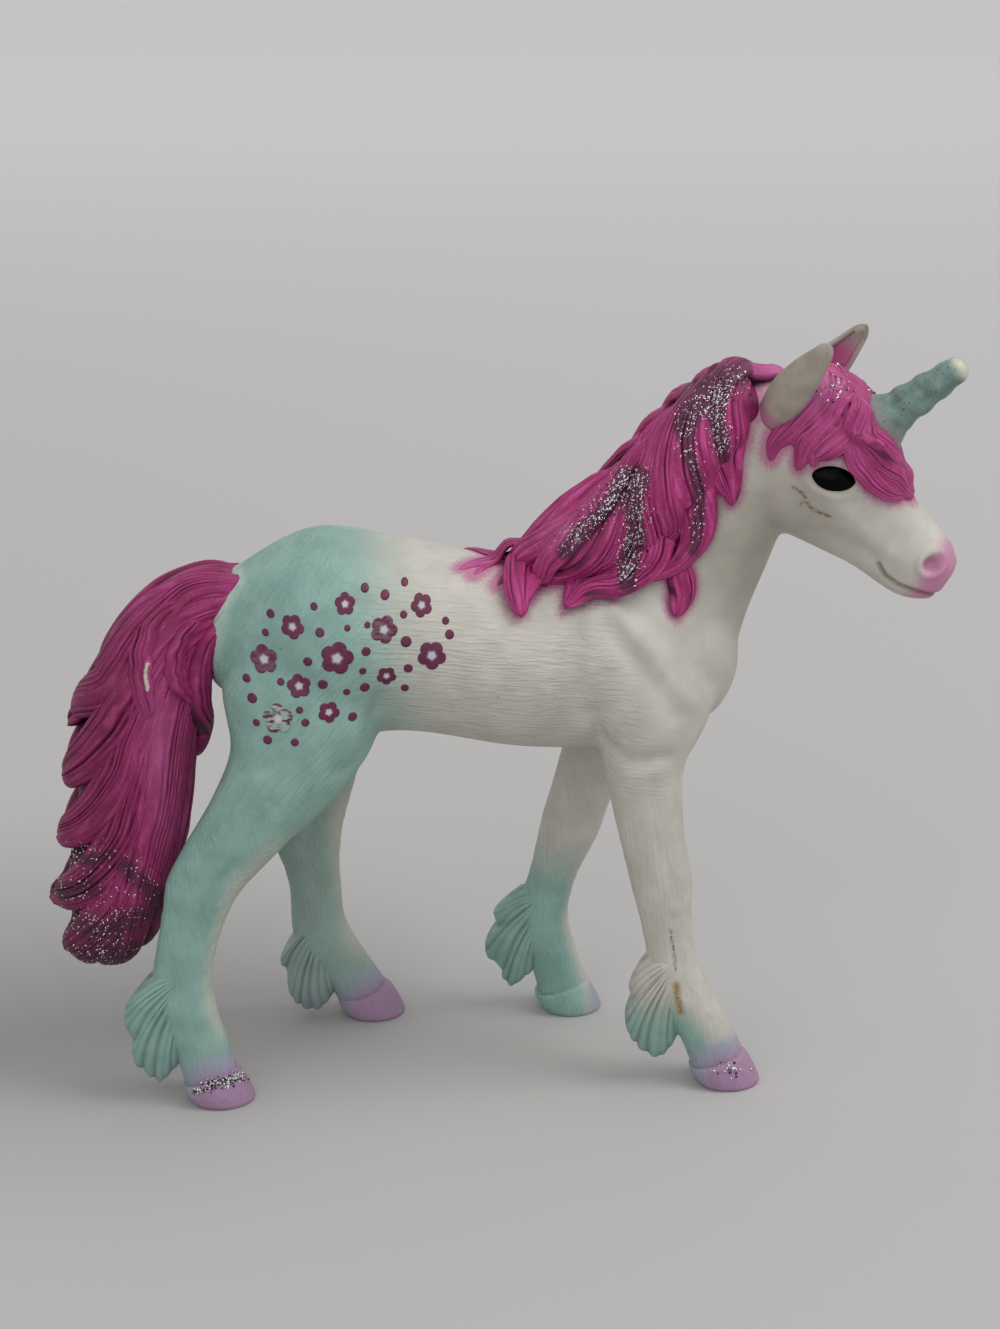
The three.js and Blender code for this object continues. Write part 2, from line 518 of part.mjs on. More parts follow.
// An ear is a cupped leaf whose hollow faces forwards and inwards
function earOf(side, grow = 0) {
  const leaf = (thin, from, to, shift) =>
    earLeaf.map(([share, spread]) => ({
      x: shift,
      y: 0,
      z: THREE.MathUtils.lerp(from, to, share),
      depth: ear.depth * spread - 2 * thin,
      width: ear.width * spread - 2 * thin,
    }));
  const placed = (geometry) =>
    inHead(
      geometry
        .rotateZ(-side * radians(earPlace.turn))
        .rotateX(-side * radians(earPlace.splay))
        .rotateY(radians(earPlace.lean))
        .translate(earPlace.x, side * earPlace.side, earPlace.z),
    );
  const outline = leaf(0, -ear.root, ear.length, 0);
  const outer = placed(loft(outline, { sides: 10, rings: 6, endCap: ear.wall, capRings: fewCapRings, grow }));
  if (grow) return outer;
  const cup = leaf(ear.wall, ear.floor, ear.length - ear.rim, ear.depth / 2);
  const caps = { startCap: ear.wall / 2, endCap: ear.wall / 2, capRings: fewCapRings };
  return outer.subtract(placed(loft(cup, { sides: 8, rings: 5, ...caps })));
}

// Where the middle of a leg crosses the seam
const seamPoint = (sections) =>
  least(lineThrough(sections).getPoints(200), (place) => Math.abs(place.z - legSeamHeight));

const group = new THREE.Group();
function add(name, body, color, roughness = 0.55) {
  const mesh = new THREE.Mesh(surface(body), new THREE.MeshStandardMaterial({ color, roughness }));
  mesh.name = name;
  group.add(mesh);
}

const seatPoint = new THREE.Vector3(throat.x, 0, throat.z);
const neckDirection = new THREE.Vector3(Math.cos(radians(throat.lean)), 0, Math.sin(radians(throat.lean)));
const backwards = neckDirection.clone().negate();
const neckMiddle = pointOf(neckSections.at(-2));
const toSeam = neckDirection.dot(seatPoint) - neckDirection.dot(neckMiddle);
const pegRoot = neckMiddle.addScaledVector(neckDirection, toSeam);
const aboveSeam = beyond(new THREE.Vector3(0, 0, legSeamHeight), upwards);
const belowSeam = beyond(new THREE.Vector3(0, 0, legSeamHeight - seatGap), upwards.clone().negate());
const headSide = beyond(seatPoint.clone().addScaledVector(neckDirection, seatGap), neckDirection);
const bodySide = beyond(seatPoint, backwards);
const tailRoot = pointOf(tailSections[1]);

const limbs = Object.values(legs).map(({ sections }) => limb(sections));
const legSeats = Object.values(legs).map(({ sections }) => seamPoint(sections));
const sockets = [
  ...legSeats.map((seat) => pegOf(legPeg, seat, upwards, seatGap)),
  pegOf(neckPeg, pegRoot, backwards, seatGap),
  pegOf(tailPeg, tailRoot, forwards, seatGap),
];
const coat = union([trunk(), neck(), skull(), ...limbs]);
add("body", largest(without(coat.intersect(aboveSeam).intersect(bodySide), sockets)), coatColour);

const hornDown = headDirection(-Math.sin(radians(horn.lean)), 0, -Math.cos(radians(horn.lean)));
const hornRoot = headPoint(horn.x, 0, horn.z).addScaledVector(hornDown, -collar.height);
const earPin = (side, clearance) => {
  const root = headPoint(earPlace.x, side * earPlace.side, earPlace.z);
  const inwards = headDirection(0, -side * Math.sin(radians(earPeg.lean)), -Math.cos(radians(earPeg.lean)));
  return pegOf(earPeg, root, inwards, clearance);
};
const features = union([neck(), skull(), lids(-1), lids(1), nostrilRing(-1), nostrilRing(1)]);
const cutters = [
  eyeball(-1, seatGap),
  eyeball(1, seatGap),
  nostrilHollow(-1),
  nostrilHollow(1),
  lipLine().subtract(skull(-mouth.depth)),
  pegOf(hornPeg, hornRoot, hornDown, seatGap),
  earPin(-1, seatGap),
  earPin(1, seatGap),
];
const headBlock = without(features, cutters).intersect(headSide);
const neckPin = pegOf(neckPeg, pegRoot.clone().addScaledVector(neckDirection, pegOverlap), backwards);
add("head", largest(headBlock.add(neckPin)), coatColour);

const skullSpace = skull(seatGap);
const limbSpace = union(Object.values(legs).map(({ sections }) => limb(sections, seatGap)));
const coatSpace = union([trunk(seatGap), neck(seatGap), skullSpace, limbSpace]);
const earSpace = union([earOf(-1, seatGap), earOf(1, seatGap)]);
add("eye_right", eyeball(-1), eyeColour, 0.12);
add("eye_left", eyeball(1), eyeColour, 0.12);
add("horn", largest(hornOf().subtract(skullSpace)).add(pegOf(hornPeg, hornRoot, hornDown)), mintColour);
add("ear_right", largest(earOf(-1).subtract(skullSpace)).add(earPin(-1)), coatColour);
add("ear_left", largest(earOf(1).subtract(skullSpace)).add(earPin(1)), coatColour);

add("mane", largest(without(mane(), [coatSpace, earSpace])), hairColour);
add("forelock", largest(without(forelock(), [coatSpace, earSpace, hornOf(seatGap), mane(seatGap)])), hairColour);

Object.entries(legs).forEach(([name, { sections, sole }], i) => {
  const { y } = sections.at(-1);
  const shank = union([limb(sections), hoofOf(sole, y), featherOf(fans[name], y)]).intersect(belowSeam);
  const pin = pegOf(legPeg, legSeats[i].clone().setZ(legSeats[i].z - pegOverlap), upwards);
  add(name, largest(shank.add(pin)), name.startsWith("hind") ? mintColour : coatColour);
});

add("tail", largest(tail().subtract(coatSpace)).add(pegOf(tailPeg, tailRoot, forwards)), hairColour);

// The origin is under the middle of the figure, on the ground
const box = new THREE.Box3().setFromObject(group);
const middle = box.getCenter(new THREE.Vector3());
group.position.set(-middle.x, -middle.y, -box.min.z);

export default group;
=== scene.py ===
import math

import bmesh
import bpy
import numpy as np
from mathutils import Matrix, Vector, kdtree
from mathutils.bvhtree import BVHTree


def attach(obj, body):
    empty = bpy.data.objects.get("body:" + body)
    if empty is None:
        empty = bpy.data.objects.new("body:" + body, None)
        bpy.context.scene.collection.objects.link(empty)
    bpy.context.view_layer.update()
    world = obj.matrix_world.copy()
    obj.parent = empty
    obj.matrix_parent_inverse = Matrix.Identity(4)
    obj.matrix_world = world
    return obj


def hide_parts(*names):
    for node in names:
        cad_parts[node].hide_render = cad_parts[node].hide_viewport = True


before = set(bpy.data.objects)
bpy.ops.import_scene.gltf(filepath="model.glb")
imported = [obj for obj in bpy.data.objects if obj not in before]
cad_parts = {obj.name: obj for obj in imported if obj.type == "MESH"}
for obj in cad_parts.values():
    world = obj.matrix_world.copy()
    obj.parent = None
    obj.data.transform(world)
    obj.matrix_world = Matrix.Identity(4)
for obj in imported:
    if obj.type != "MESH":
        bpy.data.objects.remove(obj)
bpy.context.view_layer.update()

# The figure is drawn in millimetres with its hooves on z = 0. +X is forwards and +Y is its left.
# The shift puts the origin under the middle of the figure, as in the solids.
METRE = 0.001
figure_shift = np.array([0.878, -0.9, 0.0])

camera_target = np.array([0.0, 0.0, 48.8])
camera_place = np.array([-17.34, -283.49, 139.99])
lens = 93.6


def profile(x, top, bottom, width):
    """A section of the coat whose middle lies on the figure's own middle plane"""
    return x, 0, (top + bottom) / 2, top - bottom, width


def rotation(axis, degrees):
    """The matrix of a turn about x, y or z, which are 0, 1 and 2"""
    angle = math.radians(degrees)
    first, second = [(1, 2), (2, 0), (0, 1)][axis]
    matrix = np.eye(3)
    matrix[first, first] = matrix[second, second] = math.cos(angle)
    matrix[second, first] = math.sin(angle)
    matrix[first, second] = -math.sin(angle)
    return matrix


# Coat sections: x, y, z of the middle, depth in the plane of the route, width across it
trunk_sections = [
    profile(-31, 60.3, 46.5, 13.5),
    profile(-21, 65.2, 41.5, 23.4),
    profile(-10, 63.6, 41.6, 22.6),
    profile(2, 61.2, 39.6, 23.4),
    profile(12, 62, 39.4, 22),
    profile(22.5, 59, 42.2, 17),
]
neck_sections = [
    (13, 0, 50, 23, 17.5),
    (17.4, 0, 57.3, 22, 16.4),
    (21.7, 0, 64.4, 19.4, 13.6),
    (25.4, -0.4, 71.4, 16.6, 12.2),
    (28.7, -0.8, 78, 13, 11),
]
skull_sections = [
    profile(-3, 5.5, -4, 9),
    profile(2, 8.6, -7, 11.4),
    profile(7.5, 8.9, -7.9, 12.8),
    profile(12.5, 6.9, -6.9, 11.6),
    profile(16.5, 4.9, -6, 9.2),
    profile(20, 3.9, -5.7, 7.6),
    profile(23.2, 3.2, -5, 7.6),
    profile(25.2, 2.2, -3.9, 6.4),
]
leg_sections = {
    "hindleg_right": [
        (-21, -4.4, 54, 19.6, 11), (-22.4, -6.5, 46.5, 18.8, 11.2), (-24.6, -8.2, 40, 13.6, 9.8),
        (-28.8, -9.2, 34, 10, 7.8), (-33.6, -9.8, 27.5, 8.2, 6.2), (-36.1, -10, 20, 7, 5.2),
        (-37, -10.1, 12.6, 7, 5.6), (-35.2, -10.2, 7.2, 6.4, 5.4), (-33.8, -10.2, 2.2, 6.6, 5.8),
    ],
    "hindleg_left": [
        (-21, 4.4, 54, 19.6, 11), (-21.2, 6.6, 46.5, 18.2, 11.2), (-20.8, 8.4, 40, 13, 9.8),
        (-21.4, 9.6, 33, 9.8, 7.8), (-22.5, 10.6, 25, 8.2, 6.2), (-21.9, 11.2, 17.5, 6.5, 5.2),
        (-21.3, 11.6, 11, 6.8, 5.6), (-18.4, 11.9, 6.4, 6.2, 5.4), (-16, 12, 2.2, 6.6, 5.8),
    ],
    "foreleg_right": [
        (15.5, -4.8, 55, 13, 10.6), (16.8, -6.6, 46.5, 13.4, 10.6), (15.9, -7.8, 40, 9.6, 8.4),
        (16.5, -8.4, 33, 7.9, 6.8), (18, -8.8, 25, 7, 6), (19, -9, 18, 5.8, 4.9),
        (20.3, -9.1, 12, 6.6, 5.5), (23.2, -9.2, 7, 6.2, 5.3), (25.3, -9.2, 2.2, 6.6, 5.8),
    ],
    "foreleg_left": [
        (15.2, 4.8, 55, 13, 10.6), (15.4, 6.8, 46.5, 13, 10.6), (13.6, 8.4, 40, 9.6, 8.4),
        (11.5, 9.6, 33, 7.9, 6.8), (9.2, 10.6, 25, 7.2, 6), (7.1, 11.2, 18, 5.9, 4.9),
        (5.8, 11.6, 11.8, 6.6, 5.5), (7.5, 11.9, 6.6, 6.2, 5.3), (8.8, 12, 2.2, 6.6, 5.8),
    ],
}
leg_seam_height = 38.6
between_legs = -3
# The far hind leg has thinner mint: partly its own paler paint, and partly painted light that lightens a leg
# lying in shade
far_mint = 0.7
throat = {"x": 30.4, "z": 63.5, "lean": 30}
# Where the middle of each sole lies along the figure
soles = {"hindleg_right": -32.8, "hindleg_left": -14.9, "foreleg_right": 26.2, "foreleg_left": 9.6}
hoof = {"length": 8, "width": 7.2, "height": 2.6, "lean": 1.3, "coronet": 7.4, "coronet_width": 6.6}
# Feathers: where the strands of each spring from, the rim that they reach, x and z, and how many they are
feathers = {
    "hindleg_right": ((-36.2, 17), [
        (-40.2, 16.2), (-41.5, 14.7), (-43.5, 11.9), (-43.8, 10.4), (-43.6, 9), (-42.9, 7.6), (-43.1, 6.3),
        (-42.7, 4.4), (-41.3, 3), (-40, 2.2), (-38.8, 3.2), (-37.6, 4.6), (-36.6, 6.4),
    ], 12),
    "hindleg_left": ((-20.8, 14.4), [
        (-24.2, 12), (-25.1, 10), (-26.3, 8), (-26.4, 7), (-25.7, 5.9), (-25.6, 3.8), (-25, 2),
        (-23.9, 0.9), (-21.9, 0.6), (-20.4, 2), (-19.6, 3.4),
    ], 11),
    "foreleg_right": ((19.8, 16.8), [
        (16.4, 16.6), (15.2, 14.4), (14.4, 12.2), (14.7, 10.8), (14.1, 9.5), (14, 8), (14.3, 6.6),
        (14.8, 5.5), (15.8, 4.2), (17.6, 3.1), (18.9, 3.7), (20, 5.4), (21, 7),
    ], 12),
    "foreleg_left": ((6.4, 16.6), [
        (3, 16.4), (0.8, 14.2), (-0.1, 13), (0.3, 11.3), (-0.8, 10), (-1.2, 8.4), (-0.8, 7),
        (0.6, 5.8), (1, 4.2), (2, 3.1), (3.5, 4), (4.8, 5.2), (5.8, 6.6),
    ], 12),
}

# The head's own frame: along it from the poll, its left, and up, nodded down and turned to its right
head_place = np.array([30, -0.8, 76])
head_nod = 36
head_turn = -20
head_pose = rotation(2, head_turn) @ rotation(1, head_nod)
cheek = {"middle": (6.5, 3.2, -2.6), "size": (10.4, 6, 9.4)}
eye = {
    "middle": (9, 5.5, 2.1), "half_length": 2.45, "half_height": 1.5, "slant": 25, "sink": 0.28, "dome": 0.7,
}
nostril = {"middle": (23.4, 0.7), "ring": 1.25, "rim": 0.42, "hollow": 1.1, "depth": 0.85}
mouth_line = [(19.0, -3.1), (20.4, -3.7), (22.0, -3.6), (24.0, -2.9), (26.5, -2.0)]
jaw_line = [(10.5, 0.2), (15, -0.8), (19, -1.4)]
cheek_hollow = [(12.5, -3.6), (17.5, -3)]
horn = {"x": 9, "z": 8.4, "lean": 16, "length": 11, "turns": 4, "groove": 0.05}
# Height above the brow and radius there
horn_profile = [(-1.8, 3.9), (0, 3.6), (1, 3.2), (2.2, 2.5), (3.2, 2.2), (5.5, 2.02), (11, 1.45), (11.8, 1.3)]
ear = {"x": 0.4, "side": 5, "z": 3.2, "length": 11, "width": 5.2, "depth": 3, "wall": 0.7}
ear_splay = 19
ear_turn = 66
# Share of the ear's length and of its width there
ear_leaf = [(0, 0.6), (0.3, 0.92), (0.6, 0.8), (0.85, 0.5), (1, 0.3)]
# How far each ear leans forwards and is set back, for the near side, -1, and the far side, 1
ear_lean = {-1: 3, 1: 4}
ear_back = {-1: 1.2, 1: 0}

# Muscles and hollows of the coat: x, y, z, how far they reach along each, and how far they stand out
coat_masses = [
    (13.5, -9, 52.5, 5.5, 6, 7, 0.9), (13.5, 9, 52.5, 5.5, 6, 7, 0.9),
    (25, -4.6, 50.5, 3.6, 4.4, 5, 0.9), (25, 4.6, 50.5, 3.6, 4.4, 5, 0.9),
    (27.5, 0, 49, 3.4, 1.5, 7, -0.9),
    (6.5, -10, 47, 1.6, 5, 6.5, -0.55), (6.5, 10, 47, 1.6, 5, 6.5, -0.55),
    (19.6, -8.4, 56, 1.6, 5, 5, -0.45), (19.6, 8.4, 56, 1.6, 5, 5, -0.45),
    (15.4, -10, 45.6, 5, 4.5, 4.4, 0.8), (14.2, 10, 45.6, 5, 4.5, 4.4, 0.8),
    (-22, -10.8, 50, 7.5, 5, 8, 0.7), (-22, 10.8, 50, 7.5, 5, 8, 0.7),
    (-13.2, -10, 45, 2.2, 5, 5, -0.75), (-12, 10, 45, 2.2, 5, 5, -0.75),
    (-16.5, -10.5, 43.5, 2.4, 4, 4, 0.5), (-15.5, 10.5, 43.5, 2.4, 4, 4, 0.5),
    (-29.5, -12, 33, 3, 3, 5, 0.45), (-22.5, 12, 32.5, 3, 3, 5, 0.45),
    (-36.8, -10, 26.6, 2.2, 3, 2.2, 0.5), (-26, 10.6, 23.6, 2.2, 3, 2.2, 0.5),
    (18.8, -9, 25.4, 3, 3.4, 2.6, 0.4), (9.6, 10.8, 24.6, 3, 3.4, 2.6, 0.4),
    (21.2, -9.2, 11.6, 3, 3, 2.2, 0.35), (6.6, 11.6, 11.4, 3, 3, 2.2, 0.35),
    (-35.4, -10.1, 11.8, 3, 3, 2.2, 0.35), (-20.2, 11.7, 10.6, 3, 3, 2.2, 0.35),
]

# Folds of the coat: the points of each in side view, how wide it is and how deep, negative for a ridge
coat_folds = [
    ([(9.6, 46.6), (11.2, 42.8), (14.1, 40.8), (17.7, 41.3)], 0.8, 0.6),
    ([(10.8, 56), (14.6, 52), (18.8, 46.4)], 1.0, 0.35),
    ([(12.1, 57.5), (16.1, 53.4), (20.5, 47.4)], 0.9, -0.4),
    ([(14, 58.4), (18, 54.6), (22.4, 49.4)], 1.0, 0.35),
    ([(8.4, 60), (7.3, 52.7), (8.5, 46.3)], 1.3, 0.5),
    ([(-14.4, 48.3), (-15.7, 42.4), (-17.6, 40.3)], 1.0, 0.5),
    ([(-27.4, 40), (-31, 34.4), (-35.2, 29.4)], 0.8, -0.35),
    ([(-26, 37), (-29.4, 31.6), (-33.4, 26.4), (-35.2, 20)], 0.7, 0.3),
    ([(-37.2, 24), (-38, 18), (-38.4, 14)], 0.6, 0.22),
    ([(16.2, 38), (17.4, 31), (19.4, 24)], 0.8, 0.25),
    ([(19, 22), (19.8, 17), (21, 12)], 0.6, 0.22),
    ([(-21.6, 30), (-22.6, 24), (-21.6, 16)], 0.7, 0.25),
    ([(11.6, 33), (8.6, 24), (6.4, 16)], 0.7, 0.25),
]

# The smooth bed under the mane, as sections
mane_bed = [
    (26.6, -0.6, 79.6, 7.6, 12), (20.8, -0.3, 74, 8.2, 13.4), (16.2, -0.3, 68.4, 8.2, 14),
    (10.5, -0.3, 64.4, 7, 14), (4.5, 0, 61, 4.4, 10),
]
# Every lock narrows to its root and sinks there, and its grooves are a share of its thickness
root_width = 0.55
root_sink = 0.8
groove_depth = 0.46
# Locks: side-view route of the middle, x and z, width, thickness, lift, ridges and how blunt it ends
mane_locks = [
    ([(12.1, 69.4), (7.9, 67.1), (3.7, 65), (-0.5, 63.1), (-4.9, 61.5)], 3.4, 1, -0.1, 4, 1.6),
    ([(4.8, 64.4), (2.3, 63.2), (-0.5, 61.8), (-3.6, 60.8)], 2.4, 0.7, -0.15, 3, 1.6),
    ([(3.7, 62.4), (1.9, 60.9), (-1, 59.8)], 2, 0.6, -0.15, 2, 1.6),
    ([(18, 74.4), (14.4, 70), (11.2, 66), (8.4, 62.8), (5.6, 60.4)], 5, 1.8, 0, 6, 2.2),
    ([(20.6, 79.4), (16.9, 75.6), (15.2, 70.6), (12.6, 65.6), (9.2, 62.1),
      (4.9, 60.5), (2.6, 59.2)], 5, 2.4, 0.1, 5, 2.2),
    ([(15.6, 73.4), (13.2, 70.3), (9, 67.6), (5.7, 64.8), (4.1, 62),
      (3.3, 60.2), (2.1, 58.2)], 4.6, 2, 0.1, 4, 2.2),
    ([(12.6, 69.4), (9.4, 67), (6.4, 64.6), (4.2, 62.8), (2.6, 61),
      (1.4, 59.2), (1.7, 56.8)], 4.2, 2.8, 0.7, 5, 3),
    ([(20.2, 79.6), (18.6, 77), (17.3, 73.6), (15.4, 68.5), (12.5, 63.8),
      (8.7, 60.3), (6.5, 57.6)], 5.2, 2.6, 0.4, 6, 2.4),
    ([(17.4, 75.6), (14.9, 72.2), (11.2, 68), (7.6, 64.2), (4.4, 60.9), (2.2, 57.9)], 4.2, 2.6, 0.9, 5, 2.4),
    ([(22, 80.8), (19, 76.6), (17, 72.5), (15.9, 68.5), (15.5, 64.2), (13.4, 60.6),
      (9.2, 58.9), (6.4, 57.6)], 5, 2.8, 0.8, 6, 2.6),
    ([(23.4, 81.6), (20.4, 77.8), (18.6, 74.2), (17.6, 70.2), (17.4, 66.2), (16.5, 62.7),
      (13.7, 60.2), (9.4, 58.7)], 4.8, 2.8, 1.0, 5, 2.4),
    ([(19.7, 64.1), (19.5, 61.7), (19.7, 59.3), (18.7, 56.8)], 3.4, 2.2, 0.2, 4, 3),
    ([(24.4, 82.2), (21.8, 78.8), (20.2, 75.4), (19.8, 71.8), (20.8, 68.2), (21, 65.4),
      (19.3, 62.7), (15.8, 60.6)], 4.6, 2.8, 0.9, 5, 2.4),
    ([(25.2, 82.8), (22.6, 79.4), (21.4, 75.6), (21.5, 72), (22, 68.4), (21.8, 65.6),
      (20.2, 63.2), (18, 61.6)], 3.8, 2.6, 0.6, 4, 2.4),
    ([(27.9, 83.8), (25.9, 81.4), (25.4, 77.9), (25, 74.5), (25.3, 71), (25.3, 69)], 3.4, 2, 0.1, 4, 2.2),
    ([(26.5, 83.6), (24.3, 80.6), (23.6, 77.1), (23.7, 74.5),
      (24.7, 71.7), (25.2, 68.9)], 4, 2.4, 0.3, 4, 2.2),
    ([(25, 82.8), (22.9, 79.7), (22.4, 76.3), (22.7, 73.7), (23.7, 71.6), (24.6, 70)], 3.6, 2.4, 0.4, 4, 2.2),
    ([(32, 83.6), (29.3, 83.8), (26.5, 83), (24.3, 81), (22.6, 78)], 4.6, 2.4, 0.3, 5, 2.2),
]
far_locks = [
    ([(26.8, 83.4), (26.6, 80), (26.4, 76.6), (26.8, 73), (25.8, 70)], 4.6, 2.4, 0.3, 5, 2.4),
    ([(24.6, 82.4), (23.6, 79), (23, 75), (23.4, 71), (22.4, 67.6)], 5, 2.6, 0.4, 5, 2.4),
    ([(22, 80.6), (20.6, 76.6), (20, 72.4), (20.4, 68), (18.8, 64.4)], 5, 2.6, 0.5, 5, 2.4),
    ([(19.4, 78), (17.4, 73.6), (16.6, 69.6), (16.6, 65), (14.4, 61.4)], 5, 2.6, 0.4, 5, 2.4),
    ([(16.6, 74.6), (14.2, 70.6), (12.6, 66.6), (11.6, 63), (8.6, 60)], 5, 2.6, 0.4, 5, 2.4),
    ([(13.4, 71), (10, 68), (7.2, 65.4), (4.6, 62.6), (3, 59.6)], 4.6, 2.4, 0.3, 5, 2.4),
    ([(11, 69), (6.8, 66.4), (2.6, 64.2), (-1, 62.4), (-4, 61)], 3.2, 1.2, 0, 4, 1.8),
]
tail_sections = [
    (-29, 0, 56.6, 7.6, 6.2), (-33.2, -0.2, 56.2, 7.8, 7), (-37.6, -0.8, 52.8, 8.4, 7.6),
    (-40.4, -1.6, 46.8, 9.8, 8.2), (-42, -2.5, 40, 11, 8.2), (-43.2, -3.3, 32, 11.2, 8),
    (-44.6, -4, 25, 10.6, 7.6), (-45.4, -4.4, 19, 8.4, 6.4),
]
tail_locks = [
    ([(-36.5, 42), (-36.8, 35.6), (-37.2, 32.1), (-38.2, 28.3), (-39.7, 23.8),
      (-40.8, 18.6)], 4.4, 3.2, 0, 7, 3.4),
    ([(-30.6, 55.4), (-35.4, 49.5), (-37.4, 41.7), (-38, 34.8), (-39.6, 27.1),
      (-42.6, 15.4)], 6, 3.6, 0, 8, 4),
    ([(-30.4, 55.8), (-35.7, 51.1), (-38.4, 44.3), (-39.9, 35.4), (-42.4, 25.4),
      (-46.4, 13.7)], 7, 4, 0.2, 9, 5),
    ([(-30.2, 56), (-35.8, 51.6), (-38.6, 44.2), (-40.6, 35), (-43, 26),
      (-47, 19.4), (-51, 16)], 6.8, 3.6, 0.1, 8, 5),
    ([(-30, 56.6), (-35.5, 53), (-38.7, 47), (-40.9, 39.6), (-43.2, 31.6),
      (-47.2, 26), (-52.4, 22.6)], 6, 3.6, 0.3, 8, 5),
    ([(-29.8, 57.2), (-35.1, 55), (-38.5, 50.6), (-41, 44.6), (-43.2, 38.4),
      (-47, 33), (-51.3, 29.8)], 6, 3.6, 0.5, 8, 5),
    ([(-29.6, 58), (-34.8, 56.6), (-38.4, 53), (-41.2, 48.4), (-43.4, 44.2),
      (-46.8, 39.6), (-50, 36.8)], 6, 3.6, 0.7, 8, 5),
    ([(-29.4, 59), (-34.2, 58.4), (-38.2, 55.4), (-41, 52), (-43.4, 48.4),
      (-46.6, 45.2), (-49.4, 43)], 5.8, 3.4, 0.8, 8, 5),
    ([(-29.2, 59.4), (-34, 59), (-38, 57), (-41, 54.2), (-43.4, 51), (-45, 48.6)], 4.8, 2.6, 0.6, 7, 3.4),
    ([(-34.6, 50), (-37, 46), (-38.2, 41), (-38.9, 35), (-39.6, 27), (-41, 20)], 4.6, 2.8, 0.5, 7, 3.4),
    ([(-32.4, 55.2), (-34.9, 53.3), (-36.9, 49.6), (-37.7, 45.3), (-37.6, 42)], 3.6, 2.4, 0.8, 5, 3.4),
    ([(-31, 56.4), (-33.6, 54), (-35.4, 50.6), (-36, 46.4), (-35.6, 42.4), (-34.9, 39)], 3.8, 3.4, 1.3, 5, 5),
    ([(-33.7, 56.7), (-36, 54.5), (-37.2, 52), (-37.3, 49.6), (-36.4, 47)], 2.6, 2.2, 1.9, 3, 5),
    ([(-35, 57.8), (-38, 55.6), (-39.6, 52.6), (-40.2, 49), (-39.8, 45)], 3.2, 2.6, 1.8, 4, 5),
]
# Locks along the top of the mane and of the tail: side-view route, its place across, then as above
crest_locks = [
    ([(32.4, 83.8), (29.3, 84), (26, 82.8), (22.8, 80.2),
      (19.6, 76.2), (16.6, 72.4)], 0.9, 5, 1.8, 0, 6, 2.4),
    ([(28, 84.4), (24, 82), (20.6, 78), (17.4, 74), (14, 71.2), (10.6, 69)], -0.9, 5, 1.6, -0.2, 6, 2.4),
    ([(22, 80.6), (18.8, 76.2), (15.4, 72.4), (11.8, 70),
      (8, 67.8), (4.6, 65.4)], 0.6, 4.8, 1.5, -0.2, 6, 2.2),
    ([(13.6, 71.4), (9.8, 69), (6.4, 66.8), (3.4, 64), (1, 61.4)], -1.8, 6, 3.2, 0.4, 7, 2.4),
    ([(14, 71.6), (10.4, 69.4), (6.4, 67), (2.4, 64.8), (-1.4, 63)], 0.3, 4, 1.2, -0.1, 4, 2),
]
dorsal_locks = [
    ([(-29.2, 61), (-33.8, 61.4), (-38.6, 59.4), (-42.2, 55.6), (-44.6, 51.4)], -1.0, 4.6, 2, -0.1, 6, 3),
    ([(-29.2, 61), (-33.8, 61.4), (-38.8, 59.2), (-42.4, 55.2),
      (-45.4, 49.6), (-47, 46)], 1.0, 4.6, 2, -0.1, 6, 3),
]
